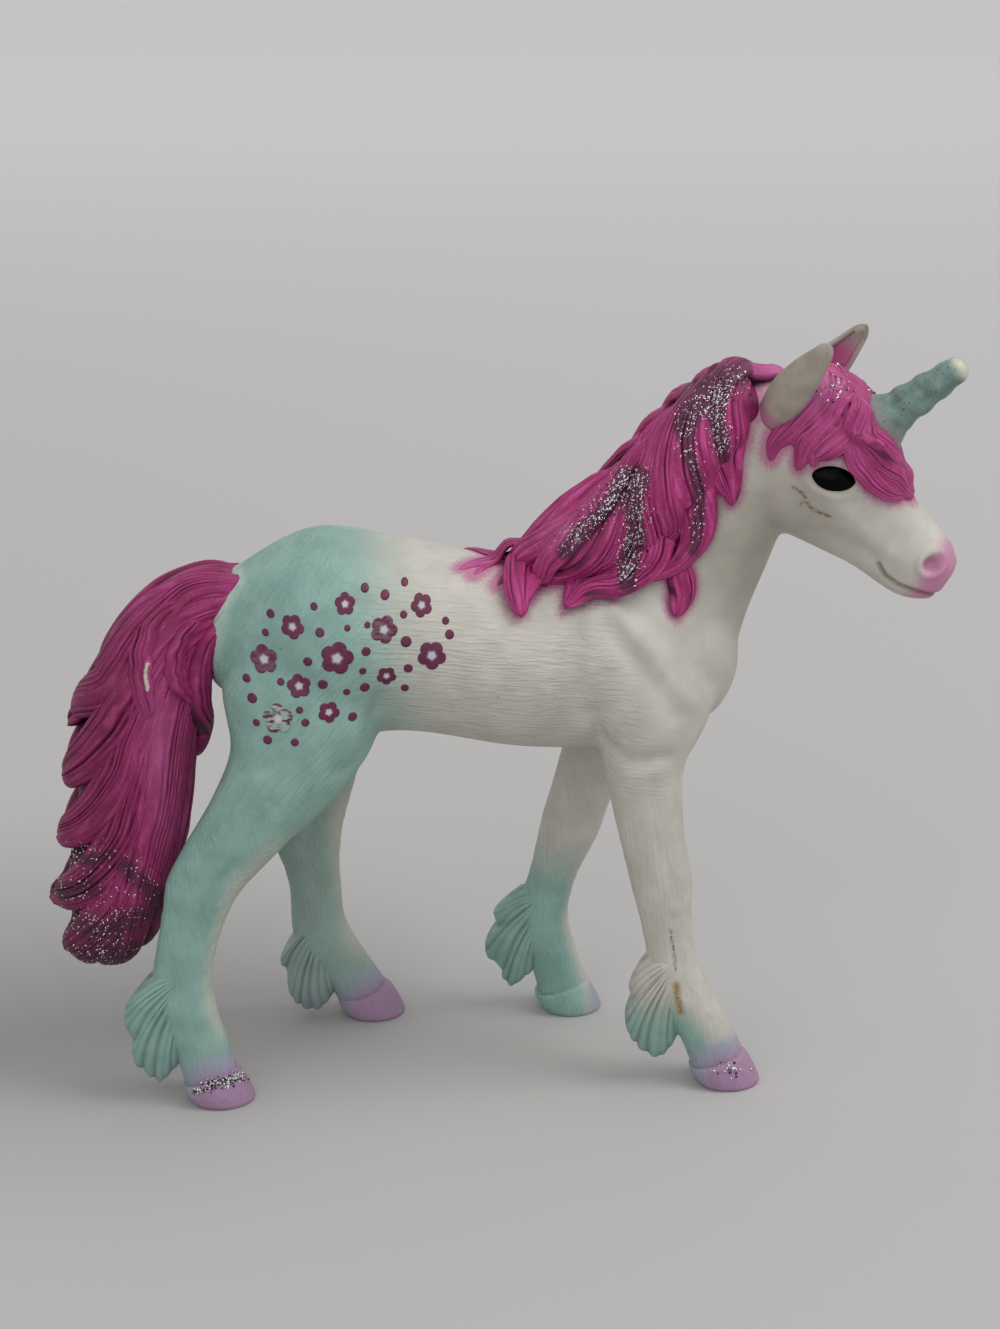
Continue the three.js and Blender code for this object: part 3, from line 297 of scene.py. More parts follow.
# The forelock's routes run in the head's own frame
forelock_bed = [(1.6, 0, 7.8, 4, 8), (6, 0, 8.2, 4, 10), (10.6, 0, 6.8, 4, 9), (14.6, 0, 4.8, 2.6, 6)]
forelock_locks = [
    ([(2.8, 1.6, 10), (4.8, 4.2, 7.4), (5, 5.6, 4.8),
      (4.6, 6.1, 2.6), (5.2, 6.2, 0.8)], 4.4, 1.2, 0.1, 6, 1.8),
    ([(3.4, 1.4, 10.2), (7, 4, 8), (10.6, 4.6, 6), (13.6, 3.6, 4.8)], 5, 1.3, 0.1, 7, 2),
    ([(4.4, 1.2, 10.2), (8.2, 3.6, 8.2), (11.6, 2.4, 7.3),
      (14.6, 0.8, 6), (17, -0.2, 4.7)], 5, 1.3, 0.1, 7, 2),
    ([(4.2, -1, 10.3), (2.4, -3.8, 8.4), (1.8, -5.6, 5.6), (1.6, -6.2, 3),
      (1.5, -6.2, 1), (2.4, -5.9, -0.9)], 3.8, 1.2, 0, 5, 1.6),
    ([(4.4, -1.2, 10.3), (3.8, -4.4, 7.6), (3.4, -5.8, 5), (3.1, -6.2, 3.4),
      (3.4, -6.3, 2.1)], 4.2, 1.2, 0.1, 6, 1.8),
    ([(4.7, -1.4, 10.3), (5, -4.7, 7.2), (4.8, -5.9, 4.8), (4.6, -6.2, 2.6),
      (5.4, -6.3, 0.4)], 4.2, 1.2, 0.2, 6, 1.6),
    ([(5, -1.5, 10.2), (6.4, -4.6, 7.4), (6.5, -5.8, 5), (6, -6, 3.2),
      (6.4, -6.1, 1.9)], 3.8, 1.2, 0.3, 5, 1.7),
    ([(5.2, -1.6, 10.2), (7, -4.6, 7.8), (7.7, -5.4, 6.2), (7.4, -5.6, 5),
      (7.7, -5.7, 4.3)], 3.6, 1.2, 0.2, 5, 1.8),
    ([(5, -1.4, 10.2), (8.4, -4.2, 7.8), (11.8, -3.2, 7), (14.6, -1.2, 6),
      (17.3, -0.5, 4.6)], 3.8, 1.2, 0, 6, 2),
    ([(5.2, -1.8, 10.1), (8, -4.8, 7.4), (11, -4.5, 6.3), (14.3, -2.9, 5.4),
      (17.2, -0.9, 4.4)], 4.6, 1.4, 0.2, 7, 1.7),
    ([(5.4, -1.8, 10.2), (7.6, -4.6, 7.6), (9.6, -5, 5.6), (12, -4.9, 4.6),
      (14.4, -3.8, 4.1), (16.2, -2, 4.1)], 4.2, 1.3, 0.3, 6, 1.7),
    ([(0.2, 3, 8.6), (2, 1, 10), (4.6, -0.6, 10.4), (7, -1.8, 9.6)], 6, 1.2, 0, 7, 2.4),
    ([(0, 0.6, 9), (1.6, -1.4, 9.6), (3.2, -3.4, 8.6), (4.4, -4.6, 7.2)], 5.4, 1.1, 0, 6, 2.2),
]

# Glitter: bands of flakes, each a side-view route with a spread, a count and the piece that it lies on
glitter_bands = [
    ([(13.9, 72.6), (12.5, 70.5), (11, 68.7), (8.9, 66.7), (6.6, 64.3)], 0.7, 1000, "mane"),
    ([(14.8, 72.5), (14, 69.5), (14.4, 65.8), (13.7, 63.2), (13.5, 60.6)], 0.8, 1000, "mane"),
    ([(20.2, 78.6), (19.8, 76.1), (20.5, 73.6), (21.3, 70.8), (21.3, 67.6), (20.8, 64.4)], 0.5, 260, "mane"),
    ([(24.1, 81.9), (23.2, 80.3), (23.3, 77.4), (24, 74.7)], 0.65, 620, "mane"),
    ([(19.4, 78), (21.4, 80.4), (23.6, 82.4), (26.6, 83.4)], 0.9, 420, "mane"),
    ([(-50, 29.2), (-47.4, 29.4), (-44.4, 30.4)], 0.6, 110, "tail"),
    ([(-52, 25), (-49.6, 25.2), (-46.6, 26.6)], 1.1, 150, "tail"),
    ([(-43, 29), (-41, 26.6), (-39.4, 24)], 1.0, 100, "tail"),
    ([(-50, 21.6), (-45.6, 21), (-40, 22.8)], 1.5, 380, "tail"),
    ([(-50.4, 17), (-46.2, 16), (-42, 18)], 1.4, 320, "tail"),
    ([(-35.8, 2.2), (-33.8, 3.2), (-31.6, 3.5), (-30, 3.6)], 0.35, 170, "hindleg_right"),
    ([(-15.8, 1.3), (-14.5, 2.2), (-12.8, 2.1)], 0.5, 50, "hindleg_left"),
    ([(24.6, 3), (26.7, 3), (28.4, 1.7)], 0.5, 22, "foreleg_right"),
    ([(11.6, 2.6), (13, 1.6)], 0.5, 22, "foreleg_left"),
]
crown_glitter = [((3, -3.4, 9.4), 0.9, 160), ((1.6, 0.4, 10.4), 0.5, 25), ((6.4, 1.4, 10), 0.8, 35)]
glitter_radius = 0.15
flake_lift = 0.05
flake_tilt = 0.35
flake_half = 0.03
# The share of flakes painted dark: painted shade, for flakes that catch no light
dark_flake_share = 0.5
# A flake comes in from the near side, one down for three across, and starts this far above its band
glitter_rise = {"hair": 18, "leg": 15.7}

# Scratches and a stain of the worn paint on the near side: side-view lines and how wide they are
scratches = [
    ([(31.8, 71.2), (32.9, 70.5), (33.4, 69.5), (32.7, 69.4)], 0.16),
    ([(33.4, 69.2), (34.6, 68.5), (35.8, 68.1)], 0.18),
    ([(18.8, 20.2), (19.3, 17.7), (19.5, 15)], 0.14),
]
stain = {"line": [(19.6, 13.4), (19.8, 11.8), (20.2, 10)], "width": 0.4}
# A pale streak on the tail
glue_streak = [(-39.5, 52.4), (-39.8, 51), (-39.6, 49.4)]


def world_of(points):
    """Points of the head's own frame, in the figure's frame"""
    return np.asarray(points, float) @ head_pose.T + head_place


def head_of(points):
    """Points of the figure's frame, in the head's own"""
    return (np.asarray(points, float) - head_place) @ head_pose


def smooth(value, low, high):
    share = np.clip((value - low) / (high - low), 0, 1)
    return share * share * (3 - 2 * share)


def spline(rows, shares, even=False):
    """A smooth run through rows of numbers. Routes pass their points at a pace that suits uneven gaps."""
    rows = np.asarray(rows, float)
    padded = np.vstack([2 * rows[0] - rows[1], rows, 2 * rows[-1] - rows[-2]])
    place = np.clip(shares, 0, 1) * (len(rows) - 1)
    start = np.minimum(place.astype(int), len(rows) - 2)
    part = (place - start)[:, None]
    before, first, last, after = (padded[start + step] for step in range(4))
    if even:
        leave, reach = (last - before) / 2, (after - first) / 2
    else:
        gaps = [np.sqrt(np.linalg.norm(b - a, axis=1, keepdims=True)).clip(1e-4) for a, b in
                ((before, first), (first, last), (last, after))]
        leave = (first - before) / gaps[0] - (last - before) / (gaps[0] + gaps[1]) + (last - first) / gaps[1]
        reach = (last - first) / gaps[1] - (after - first) / (gaps[1] + gaps[2]) + (after - last) / gaps[2]
        leave, reach = leave * gaps[1], reach * gaps[1]
    square = 3 * (last - first) - 2 * leave - reach
    cube = 2 * (first - last) + leave + reach
    return first + part * (leave + part * (square + part * cube))


def unit(vectors):
    return vectors / np.linalg.norm(vectors, axis=-1, keepdims=True).clip(1e-9)


def fade(distance, reach):
    """1 where the distance is 0, falling off like a bell"""
    return np.exp(-((distance / reach) ** 2))


def bell(points, middle, reach):
    """1 at a middle, falling off with a reach along each axis"""
    return np.exp(-(((points - middle) / reach) ** 2).sum(1))


def tube(rings):
    """A closed skin over rings of as many points each, with a point in the middle of both ends"""
    count, sides = rings.shape[:2]
    points = np.vstack([rings.reshape(-1, 3), rings[0].mean(0), rings[-1].mean(0)])
    step = np.arange(sides)
    after = (step + 1) % sides
    rows = np.arange(count - 1)[:, None] * sides
    quads = np.stack([rows + step, rows + after, rows + sides + after, rows + sides + step], -1)
    start, end, last = count * sides, count * sides + 1, (count - 1) * sides
    faces = quads.reshape(-1, 4).tolist()
    faces += [(start, b, a) for a, b in zip(step.tolist(), after.tolist())]
    faces += [(end, last + a, last + b) for a, b in zip(step.tolist(), after.tolist())]
    return points, faces


def loft(sections, sides=40, rings=60, facing=None, start_cap=0, end_cap=0):
    """An oval tube through sections, with rounded ends where a cap has a reach"""
    rows = np.array(sections, float)
    shares = np.linspace(0, 1, rings)
    centres = spline(rows[:, :3], shares)
    halves = spline(rows[:, 3:] / 2, shares, even=True)
    if facing is None:
        along = unit(np.gradient(centres, axis=0))
    else:
        along = np.tile(facing, (rings, 1)).astype(float)
    # Both caps are quarter circles that leave out their first and last few degrees
    for end, reach in ((0, -start_cap), (-1, end_cap)):
        arc = np.radians(np.linspace(8, 88, 11 if reach else 0))[:, None]
        cap = [
            centres[end] + along[end] * (reach * np.sin(arc)),
            halves[end] * np.cos(arc),
            np.tile(along[end], (len(arc), 1)),
        ]
        if end == 0:
            centres, halves, along = (np.vstack([a[::-1], b]) for a, b in zip(cap, (centres, halves, along)))
        else:
            centres, halves, along = (np.vstack([b, a]) for a, b in zip(cap, (centres, halves, along)))
    across = unit(np.array([0.0, 1.0, 0.0]) - along * along[:, 1:2])
    rise = np.cross(across, along)
    angle = np.linspace(0, 2 * np.pi, sides, endpoint=False)
    return tube(
        centres[:, None]
        + rise[:, None] * (halves[:, :1] * np.cos(angle))[..., None]
        + across[:, None] * (halves[:, 1:] * np.sin(angle))[..., None]
    )


def ball(middle, size, count=24):
    """An egg shape, as a loft of round sections"""
    turn_angle = np.radians(np.linspace(4, 176, count))
    angle = np.linspace(0, 2 * np.pi, count, endpoint=False)
    size = np.array(size) / 2
    radius = np.sin(turn_angle)[:, None]
    rings = np.stack([
        np.broadcast_to(-np.cos(turn_angle)[:, None], (count, count)),
        radius * np.sin(angle),
        radius * np.cos(angle),
    ], -1)
    return tube(rings * size + np.array(middle))


def joined(shapes):
    """Several shapes as one list of points and one of faces"""
    points, faces, count = [], [], 0
    for some_points, some_faces in shapes:
        points.append(some_points)
        faces += [tuple(corner + count for corner in face) for face in some_faces]
        count += len(some_points)
    return np.vstack(points), faces


def plain_mesh(name, points, faces):
    mesh = bpy.data.meshes.new(name)
    mesh.from_pydata(np.asarray(points).tolist(), [], faces)
    return mesh


def points_of(mesh):
    flat = np.empty(len(mesh.vertices) * 3)
    mesh.vertices.foreach_get("co", flat)
    return flat.reshape(-1, 3)


def changed(shape, kind, **settings):
    """The points and faces that a modifier makes of a shape"""
    carrier = bpy.data.objects.new("carrier", plain_mesh("carrier", *shape))
    bpy.context.scene.collection.objects.link(carrier)
    modifier = carrier.modifiers.new("change", kind)
    for name, value in settings.items():
        setattr(modifier, name, value)
    made = bpy.data.meshes.new_from_object(carrier.evaluated_get(bpy.context.evaluated_depsgraph_get()))
    result = points_of(made), [tuple(face.vertices) for face in made.polygons]
    bpy.data.objects.remove(carrier)
    bpy.data.meshes.remove(made)
    return result


def pairs_of(faces):
    quads = np.array(faces)
    pairs = np.sort(np.vstack([quads[:, [a, (a + 1) % 4]] for a in range(4)]), axis=1)
    return np.unique(pairs, axis=0)


def relaxed(points, pairs, rounds, pull):
    """Each point moves towards the middle of its neighbours"""
    count = len(points)
    start, end = pairs.T
    neighbours = np.bincount(pairs.ravel(), minlength=count)[:, None]
    for _ in range(rounds):
        total = np.stack([
            np.bincount(start, points[end, axis], count) + np.bincount(end, points[start, axis], count)
            for axis in range(3)
        ], -1)
        points = points + pull * (total / neighbours - points)
    return points


def normals_of(points, faces):
    quads = np.array(faces)
    corner = points[quads]
    face_normals = np.cross(corner[:, 2] - corner[:, 0], corner[:, 3] - corner[:, 1])
    total = np.stack([
        sum(np.bincount(quads[:, a], face_normals[:, axis], len(points)) for a in range(4))
        for axis in range(3)
    ], -1)
    return unit(total)


def tree_of(points, faces):
    return BVHTree.FromPolygons(np.asarray(points).tolist(), faces)


def to_line(points, line):
    """How far each point lies from a bent line, in side view"""
    places = points[:, [0, 2]]
    line = np.asarray(line, float)
    nearest = np.full(len(places), 1e9)
    for a, b in zip(line[:-1], line[1:]):
        step = b - a
        share = np.clip(((places - a) @ step) / (step @ step), 0, 1)
        nearest = np.minimum(nearest, np.linalg.norm(places - a - share[:, None] * step, axis=1))
    return nearest


def eye_axes(points):
    """Places round an eye, along its slant and across it, as seen from the side of the head"""
    slant = math.radians(eye["slant"])
    x, z = points[:, 0] - eye["middle"][0], points[:, 2] - eye["middle"][2]
    return x * math.cos(slant) + z * math.sin(slant), z * math.cos(slant) - x * math.sin(slant)


def coat_skin():
    """The whole coat as one skin: trunk, neck, head and legs, run together and given their muscles"""
    head_parts = [loft(skull_sections, facing=(1, 0, 0), start_cap=1.5, end_cap=1)]
    x, y, z = cheek["middle"]
    head_parts += [ball((x, side * y, z), cheek["size"]) for side in (-1, 1)]
    shapes = [(world_of(points), faces) for points, faces in head_parts]
    shapes.append(loft(trunk_sections, facing=(1, 0, 0), start_cap=3, end_cap=4))
    shapes.append(loft(neck_sections, end_cap=3))
    shapes += [loft(sections, rings=80, start_cap=4) for sections in leg_sections.values()]
    points, faces = changed(joined(shapes), "REMESH", mode="VOXEL", voxel_size=0.55)
    pairs = pairs_of(faces)
    points = relaxed(points, pairs, 7, 0.5)
    normals = normals_of(points, faces)
    lift = np.zeros(len(points))
    for x, y, z, length, width, height, amount in coat_masses:
        lift += amount * bell(points, (x, y, z), (length, width, height))
    sideways = smooth(np.abs(normals[:, 1]), 0.2, 0.6)
    for line, width, depth in coat_folds:
        lift -= depth * fade(to_line(points, line), width) * sideways
    points = points + normals * lift[:, None]
    points, faces = changed((points, faces), "SUBSURF", levels=1, render_levels=1)
    return head_details(relaxed(points, pairs_of(faces), 2, 0.4), faces), faces


def head_details(points, faces):
    """Lids, nostrils, lips and the bones of the face"""
    local = head_of(points)
    near = np.flatnonzero((local[:, 0] > 3) & (points[:, 0] > 28) & (points[:, 2] > 50))
    normals = normals_of(points, faces)[near]
    place = local[near]
    along, over = eye_axes(place)
    beside = np.abs(place[:, 1]) > 2.2
    ring = np.hypot(along / 2.55, over / 1.55)
    lids = 0.24 * fade(ring - 1.22, 0.3) - 0.5 * smooth(ring, 1.02, 0.7)
    brow = 0.35 * bell(np.stack([along, over], 1), (0.2, 2.9), (3.2, 0.9))
    lift = np.where(beside, lids, 0) + np.where(beside, brow, 0)
    x, z = nostril["middle"]
    around = np.hypot(place[:, 0] - x, (place[:, 2] - z) / 1.12)
    flank = smooth(np.abs(place[:, 1]), 1.2, 2.2)
    lift += flank * 0.42 * fade(around - nostril["ring"], nostril["rim"])
    lift -= flank * nostril["depth"] * smooth(around, nostril["hollow"], 0.3)
    lips = to_line(place, mouth_line)
    lift -= 0.6 * fade(lips, 0.3)
    lift += 0.22 * fade(lips, 0.8) * (place[:, 0] > mouth_line[0][0])
    below = place[:, 2] - np.interp(place[:, 0], *np.array(mouth_line).T)
    lift += 0.25 * bell(np.stack([below, place[:, 0]], 1), (-1.7, 22.5), (1.1, 2.6))
    lift += flank * 0.3 * fade(to_line(place, jaw_line), 1.1)
    lift -= flank * 0.35 * fade(to_line(place, cheek_hollow), 1.4)
    result = points.copy()
    result[near] += normals * lift[:, None]
    return result


class Socket:
    """A value in a shader. Arithmetic on it adds Math nodes."""

    def __init__(self, finish, link):
        self.finish = finish
        self.link = link

    def math(self, operation, first, second):
        return self.finish.node("ShaderNodeMath", {"operation": operation}, {0: first, 1: second})

    def __add__(self, other):
        return self.math("ADD", self, other)

    def __sub__(self, other):
        return self.math("SUBTRACT", self, other)

    def __rsub__(self, other):
        return self.math("SUBTRACT", other, self)

    def __mul__(self, other):
        return self.math("MULTIPLY", self, other)

    __radd__ = __add__
    __rmul__ = __mul__

    def between(self, low, high):
        """0 below low, 1 above high, and smooth from one to the other"""
        limits = {"From Min": low, "From Max": high, "Value": self}
        return self.finish.node("ShaderNodeMapRange", {"interpolation_type": "SMOOTHSTEP"}, limits)


class Finish:
    """A material made of one Principled shader and the nodes that feed it"""

    def __init__(self, name, **sockets):
        self.material = bpy.data.materials.new(name)
        self.material.use_nodes = True
        self.tree = self.material.node_tree
        self.shader = self.tree.nodes["Principled BSDF"]
        self.set(**sockets)

    def feed(self, socket, value):
        if isinstance(value, Socket):
            self.tree.links.new(value.link, socket)
        else:
            socket.default_value = value

    def set(self, **sockets):
        for name, value in sockets.items():
            self.feed(self.shader.inputs[name.replace("_", " ").title().replace("Ior", "IOR")], value)

    def node(self, kind, settings=None, inputs=None, output=0):
        made = self.tree.nodes.new(kind)
        for name, value in (settings or {}).items():
            setattr(made, name, value)
        for name, value in (inputs or {}).items():
            self.feed(made.inputs[name], value)
        return Socket(self, made.outputs[output])

    def mark(self, name):
        return self.node("ShaderNodeAttribute", {"attribute_name": name}, output="Fac")

    def grain(self, size, stretch=(1, 1, 1), tilt=(0, 0, 0), detail=2.0, sway=0.0):
        """Noise whose spots are about size millimetres, stretched along the axes of a tilted frame"""
        place = self.node("ShaderNodeTexCoord", output="Object")
        spread = [1 / (size * METRE * much) for much in stretch]
        tilted = self.node("ShaderNodeMapping", inputs={"Vector": place, "Rotation": tilt})
        placed = self.node("ShaderNodeMapping", inputs={"Vector": tilted, "Scale": spread})
        inputs = {"Vector": placed, "Scale": 1.0, "Detail": detail, "Distortion": sway}
        return self.node("ShaderNodeTexNoise", inputs=inputs)

    def mix(self, share, first, second, blend="MIX"):
        """One colour where share is 0 and another where it is 1, each given to colour() or made by a mix"""
        settings = {"data_type": "RGBA", "blend_type": blend}
        first, second = (tone if isinstance(tone, Socket) else colour(*tone) for tone in (first, second))
        return self.node("ShaderNodeMix", settings, {0: share, 6: first, 7: second}, output=2)

    def over(self, share, tone, blend="MIX"):
        """Lays one more colour over those so far"""
        self.tone = self.mix(share, self.tone, tone, blend)
        self.set(base_color=self.tone)

    def bump(self, height, depth, strength=1.0):
        inputs = {"Height": height, "Distance": depth * METRE, "Strength": strength}
        self.set(normal=self.node("ShaderNodeBump", inputs=inputs))


def colour(red, green, blue):
    """A colour given as a screen shows it, 0 to 255"""
    share = np.array([red, green, blue]) / 255
    linear = np.where(share <= 0.04045, share / 12.92, ((share + 0.055) / 1.055) ** 2.4)
    return (*linear.tolist(), 1.0)


def coat_finish():
    """Matte vinyl with an airbrushed coat, painted shade and short carved strokes of hair"""
    finish = Finish("airbrushed vinyl coat", roughness=0.5, specular_ior_level=0.35)
    cloud = finish.grain(3.2, detail=3.0)
    speck = finish.grain(0.35, detail=2.0)
    mark = finish.mark
    finish.tone = finish.mix(cloud.between(0.35, 0.7), (185, 182, 173), (195, 192, 183))
    mint = finish.mix(cloud.between(0.3, 0.7), (123, 158, 150), (138, 172, 163))
    finish.over((mark("mint") + cloud * 0.25 + speck * 0.12 - 0.18).between(0.0, 1.0), mint)
    finish.over(mark("cream") * 0.6, (202, 197, 182))
    dusk = mark("lilac") + speck * 0.24 - 0.12
    finish.over(dusk.between(0.0, 0.5), (148, 154, 168))
    finish.over(dusk.between(0.4, 0.95), (156, 126, 156))
    finish.over((mark("blush") + speck * 0.5 - 0.25).between(0.05, 0.95), (188, 128, 160))
    finish.over((mark("halo") + speck * 0.7 - 0.4).between(0.05, 0.95) * 0.75, (178, 84, 138))
    finish.over(mark("rim") * 0.7, (186, 198, 190))
    # Painted shade: the neck, the cheek, the line of the mouth and the grooves of the feathers are darkened
    finish.over(mark("shade"), (168, 158, 144), "MULTIPLY")
    finish.over(mark("stain") * speck.between(0.2, 0.5), (138, 110, 48))
    finish.over(mark("scratch") * speck.between(0.38, 0.5), (104, 82, 60))
    grime = finish.grain(0.45, detail=1.0, stretch=(1, 1, 1.6)).between(0.795, 0.84)
    finish.over(grime * 0.6, (92, 78, 62))
    # Carved strokes: where they lie, their size, how long they run along each axis, and their slope
    rows = [("flank", 0.34, (9, 2, 1), -4), ("thigh", 0.34, (1, 2, 7), -38), ("shank", 0.36, (1, 1, 8), 6)]
    flank, thigh, shank = (
        finish.grain(size, stretch, (0, math.radians(slope), 0), detail=2.5, sway=0.25) * mark(name)
        for name, size, stretch, slope in rows
    )
    finish.bump((flank + thigh + shank).between(0.2, 0.8), 0.24, 0.5)
    return finish.material


def hair_finish():
    """Satin magenta paint, with painted shade in the grooves and a painted highlight on the ridges, which are
    also rubbed paler
    """
    finish = Finish("satin magenta hair", roughness=0.45, specular_ior_level=0.3)
    groove = finish.mark("groove")
    cloud = finish.grain(2.6, detail=2.0)
    fine = finish.grain(0.3, detail=2.0)
    mark = finish.mark
    place = finish.node("ShaderNodeCombineXYZ", inputs={"X": mark("strand") * 3.2, "Y": mark("run") * 0.3})
    strands = finish.node("ShaderNodeTexNoise", inputs={"Vector": place, "Scale": 1.0, "Detail": 2.0})
    finish.tone = finish.mix(cloud.between(0.3, 0.7), (142, 32, 90), (160, 43, 108))
    # Painted shade: the grooves are darker
    finish.over((groove + (strands - 0.5) * 0.6).between(0.15, 0.65), (72, 12, 46))
    # Painted highlight on the ridges, partly also paler wear
    ridge = (1 - groove).between(0.75, 1.0) * (strands + fine * 0.3).between(0.58, 0.82)
    finish.over(ridge * 0.6, (204, 88, 154))
    # The pale mark is partly painted highlight and partly paler paint
    finish.over(mark("pale") * (cloud * 0.6 + 0.5), (206, 116, 172))
    dusky = (mark("dusky") + cloud * 0.5 + fine * 0.3 - 0.4).between(0.3, 0.75)
    finish.over(dusky * 0.75, (66, 34, 56))
    # The deep mark darkens: painted shade on the top of the crest, and the whole tail, more towards its back
    finish.over(mark("deep"), (202, 188, 198), "MULTIPLY")
    finish.over((mark("worn") * (fine + 0.25)).between(0.3, 0.6), (190, 184, 176))
    finish.set(roughness=0.4 + cloud * 0.16)
    finish.bump(strands + fine * 0.2, 0.16, 0.6)
    return finish.material


def horn_finish():
    finish = Finish("mint horn", roughness=0.42, specular_ior_level=0.45)
    cloud = finish.grain(1.4, detail=3.0)
    speck = finish.grain(0.3, detail=1.0)
    # Painted shade: the horn's mint is darker than the coat's, and its white base is painted grey, far darker
    # than its white tip
    finish.tone = finish.mix(cloud.between(0.3, 0.7), (94, 121, 115), (121, 146, 139))
    finish.over(finish.mark("bare"), (130, 130, 128))
    finish.over(finish.mark("rub"), (200, 198, 180))
    finish.over(speck.between(0.66, 0.7) * 0.7, (58, 62, 64))
    finish.bump(cloud * 0.7 + speck * 0.2, 0.2, 0.5)
    return finish.material


def ear_finish():
    finish = Finish("ear vinyl", roughness=0.5, specular_ior_level=0.35)
    cloud = finish.grain(2.2, detail=3.0)
    speck = finish.grain(0.4, detail=1.0)
    # Painted shade: the ear's white is darker and greyer than the coat's
    finish.tone = finish.mix(cloud.between(0.3, 0.7), (148, 139, 128), (166, 158, 147))
    finish.over((finish.mark("blush") + cloud * 0.4 - 0.2).between(0, 1), (178, 74, 134))
    finish.over(speck.between(0.76, 0.8) * finish.mark("specks"), (104, 88, 72))
    finish.bump(cloud, 0.15, 0.4)
    return finish.material


def eye_finish():
    finish = Finish("gloss black eye", roughness=0.12, specular_ior_level=0.06)
    cloud = finish.grain(0.8, detail=2.0)
    finish.set(base_color=finish.mix(cloud.between(0.3, 0.7), (3.12, 3.12, 3.9), (4, 4, 5)))
    finish.bump(finish.grain(0.25), 0.02, 0.3)
    return finish.material


def print_finish():
    finish = Finish("screen print", roughness=0.4, specular_ior_level=0.45)
    cloud = finish.grain(0.7, detail=2.0)
    scrape = finish.grain(0.3, (4, 2, 1), detail=2.0)
    finish.tone = finish.mix(cloud.between(0.3, 0.7), (84, 18, 56), (102, 26, 70))
    finish.over(finish.mark("middle"), (186, 186, 190))
    finish.over(finish.mark("rubbed") * scrape.between(0.42, 0.56), (150, 180, 168))
    finish.bump(scrape, 0.03, 0.3)
    return finish.material


def piece(name, shape, material, marks=None, node=None, sharp=None):
    """A finished object: moved into the shared frame, smooth, riding on the figure's one body"""
    points, faces = shape
    mesh = plain_mesh(name, (np.asarray(points) + figure_shift) * METRE, faces)
    for mark, values in (marks or {}).items():
        data = mesh.attributes.new(mark, "FLOAT", "POINT").data
        data.foreach_set("value", np.asarray(values, np.float32))
    mesh.shade_smooth()
    if sharp is not None:
        flags = np.zeros(len(mesh.edges), bool)
        flags[:] = sharp(mesh)
        mesh.attributes.new("sharp_edge", "BOOLEAN", "EDGE").data.foreach_set("value", flags)
    mesh.materials.append(material)
    made = bpy.data.objects.new(name, mesh)
    bpy.context.scene.collection.objects.link(made)
    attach(made, "root")
    if node:
        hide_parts(node)
    return made


def cut(points, faces, planes):
    """What lies behind every plane, closed by flat faces. A plane is a point and what way to cut."""
    work = bmesh.new()
    mesh = plain_mesh("cut", points, faces)
    work.from_mesh(mesh)
    for place, direction in planes:
        everything = work.verts[:] + work.edges[:] + work.faces[:]
        found = bmesh.ops.bisect_plane(
            work, geom=everything, plane_co=Vector(place), plane_no=Vector(direction), clear_outer=True
        )
        rim = [part for part in found["geom_cut"] if isinstance(part, bmesh.types.BMEdge)]
        bmesh.ops.edgeloop_fill(work, edges=rim)
    work.to_mesh(mesh)
    work.free()
    result = points_of(mesh), [tuple(face.vertices) for face in mesh.polygons]
    bpy.data.meshes.remove(mesh)
    return result


def chosen(shape, wanted):
    """The closed parts of a shape whose points are all wanted"""
    points, faces = shape
    index = np.cumsum(wanted) - 1
    kept = [tuple(int(index[corner]) for corner in face) for face in faces if wanted[face[0]]]
    return points[wanted], kept


def flat_rims(mesh):
    """Edges of the large flat faces that close a cut"""
    caps = [face for face in mesh.polygons if face.loop_total > 8]
    rims = {key for face in caps for key in face.edge_keys}
    return [tuple(sorted(edge.vertices)) in rims for edge in mesh.edges]


def hit_side(bed, x, z, side):
    """Where a line from the side meets a bed"""
    place = bed.ray_cast(Vector((x, side * 60, z)), Vector((0, -side, 0)))[0]
    if place is None:
        return np.array([x, bed.find_nearest(Vector((x, side * 1.5, z)))[0].y, z])
    return np.array(place)


def settled(route, bed, lift, reach):
    """Lays a route on a bed, lifted off it, and gives the direction away from the bed at each place.
    Points that stand out further than the reach stay as they are."""
    rows = []
    for point in route:
        place, normal = (np.array(found) for found in bed.find_nearest(Vector(point))[:2])
        outside = np.dot(point - place, normal)
        rows.append((point if outside > reach else place + normal * lift, normal))
    places, normals = np.array(rows).swapaxes(0, 1)
    for _ in range(3):
        for run in (places, normals):
            run[1:-1] = (run[:-2] + 2 * run[1:-1] + run[2:]) / 4
    return places, unit(normals)


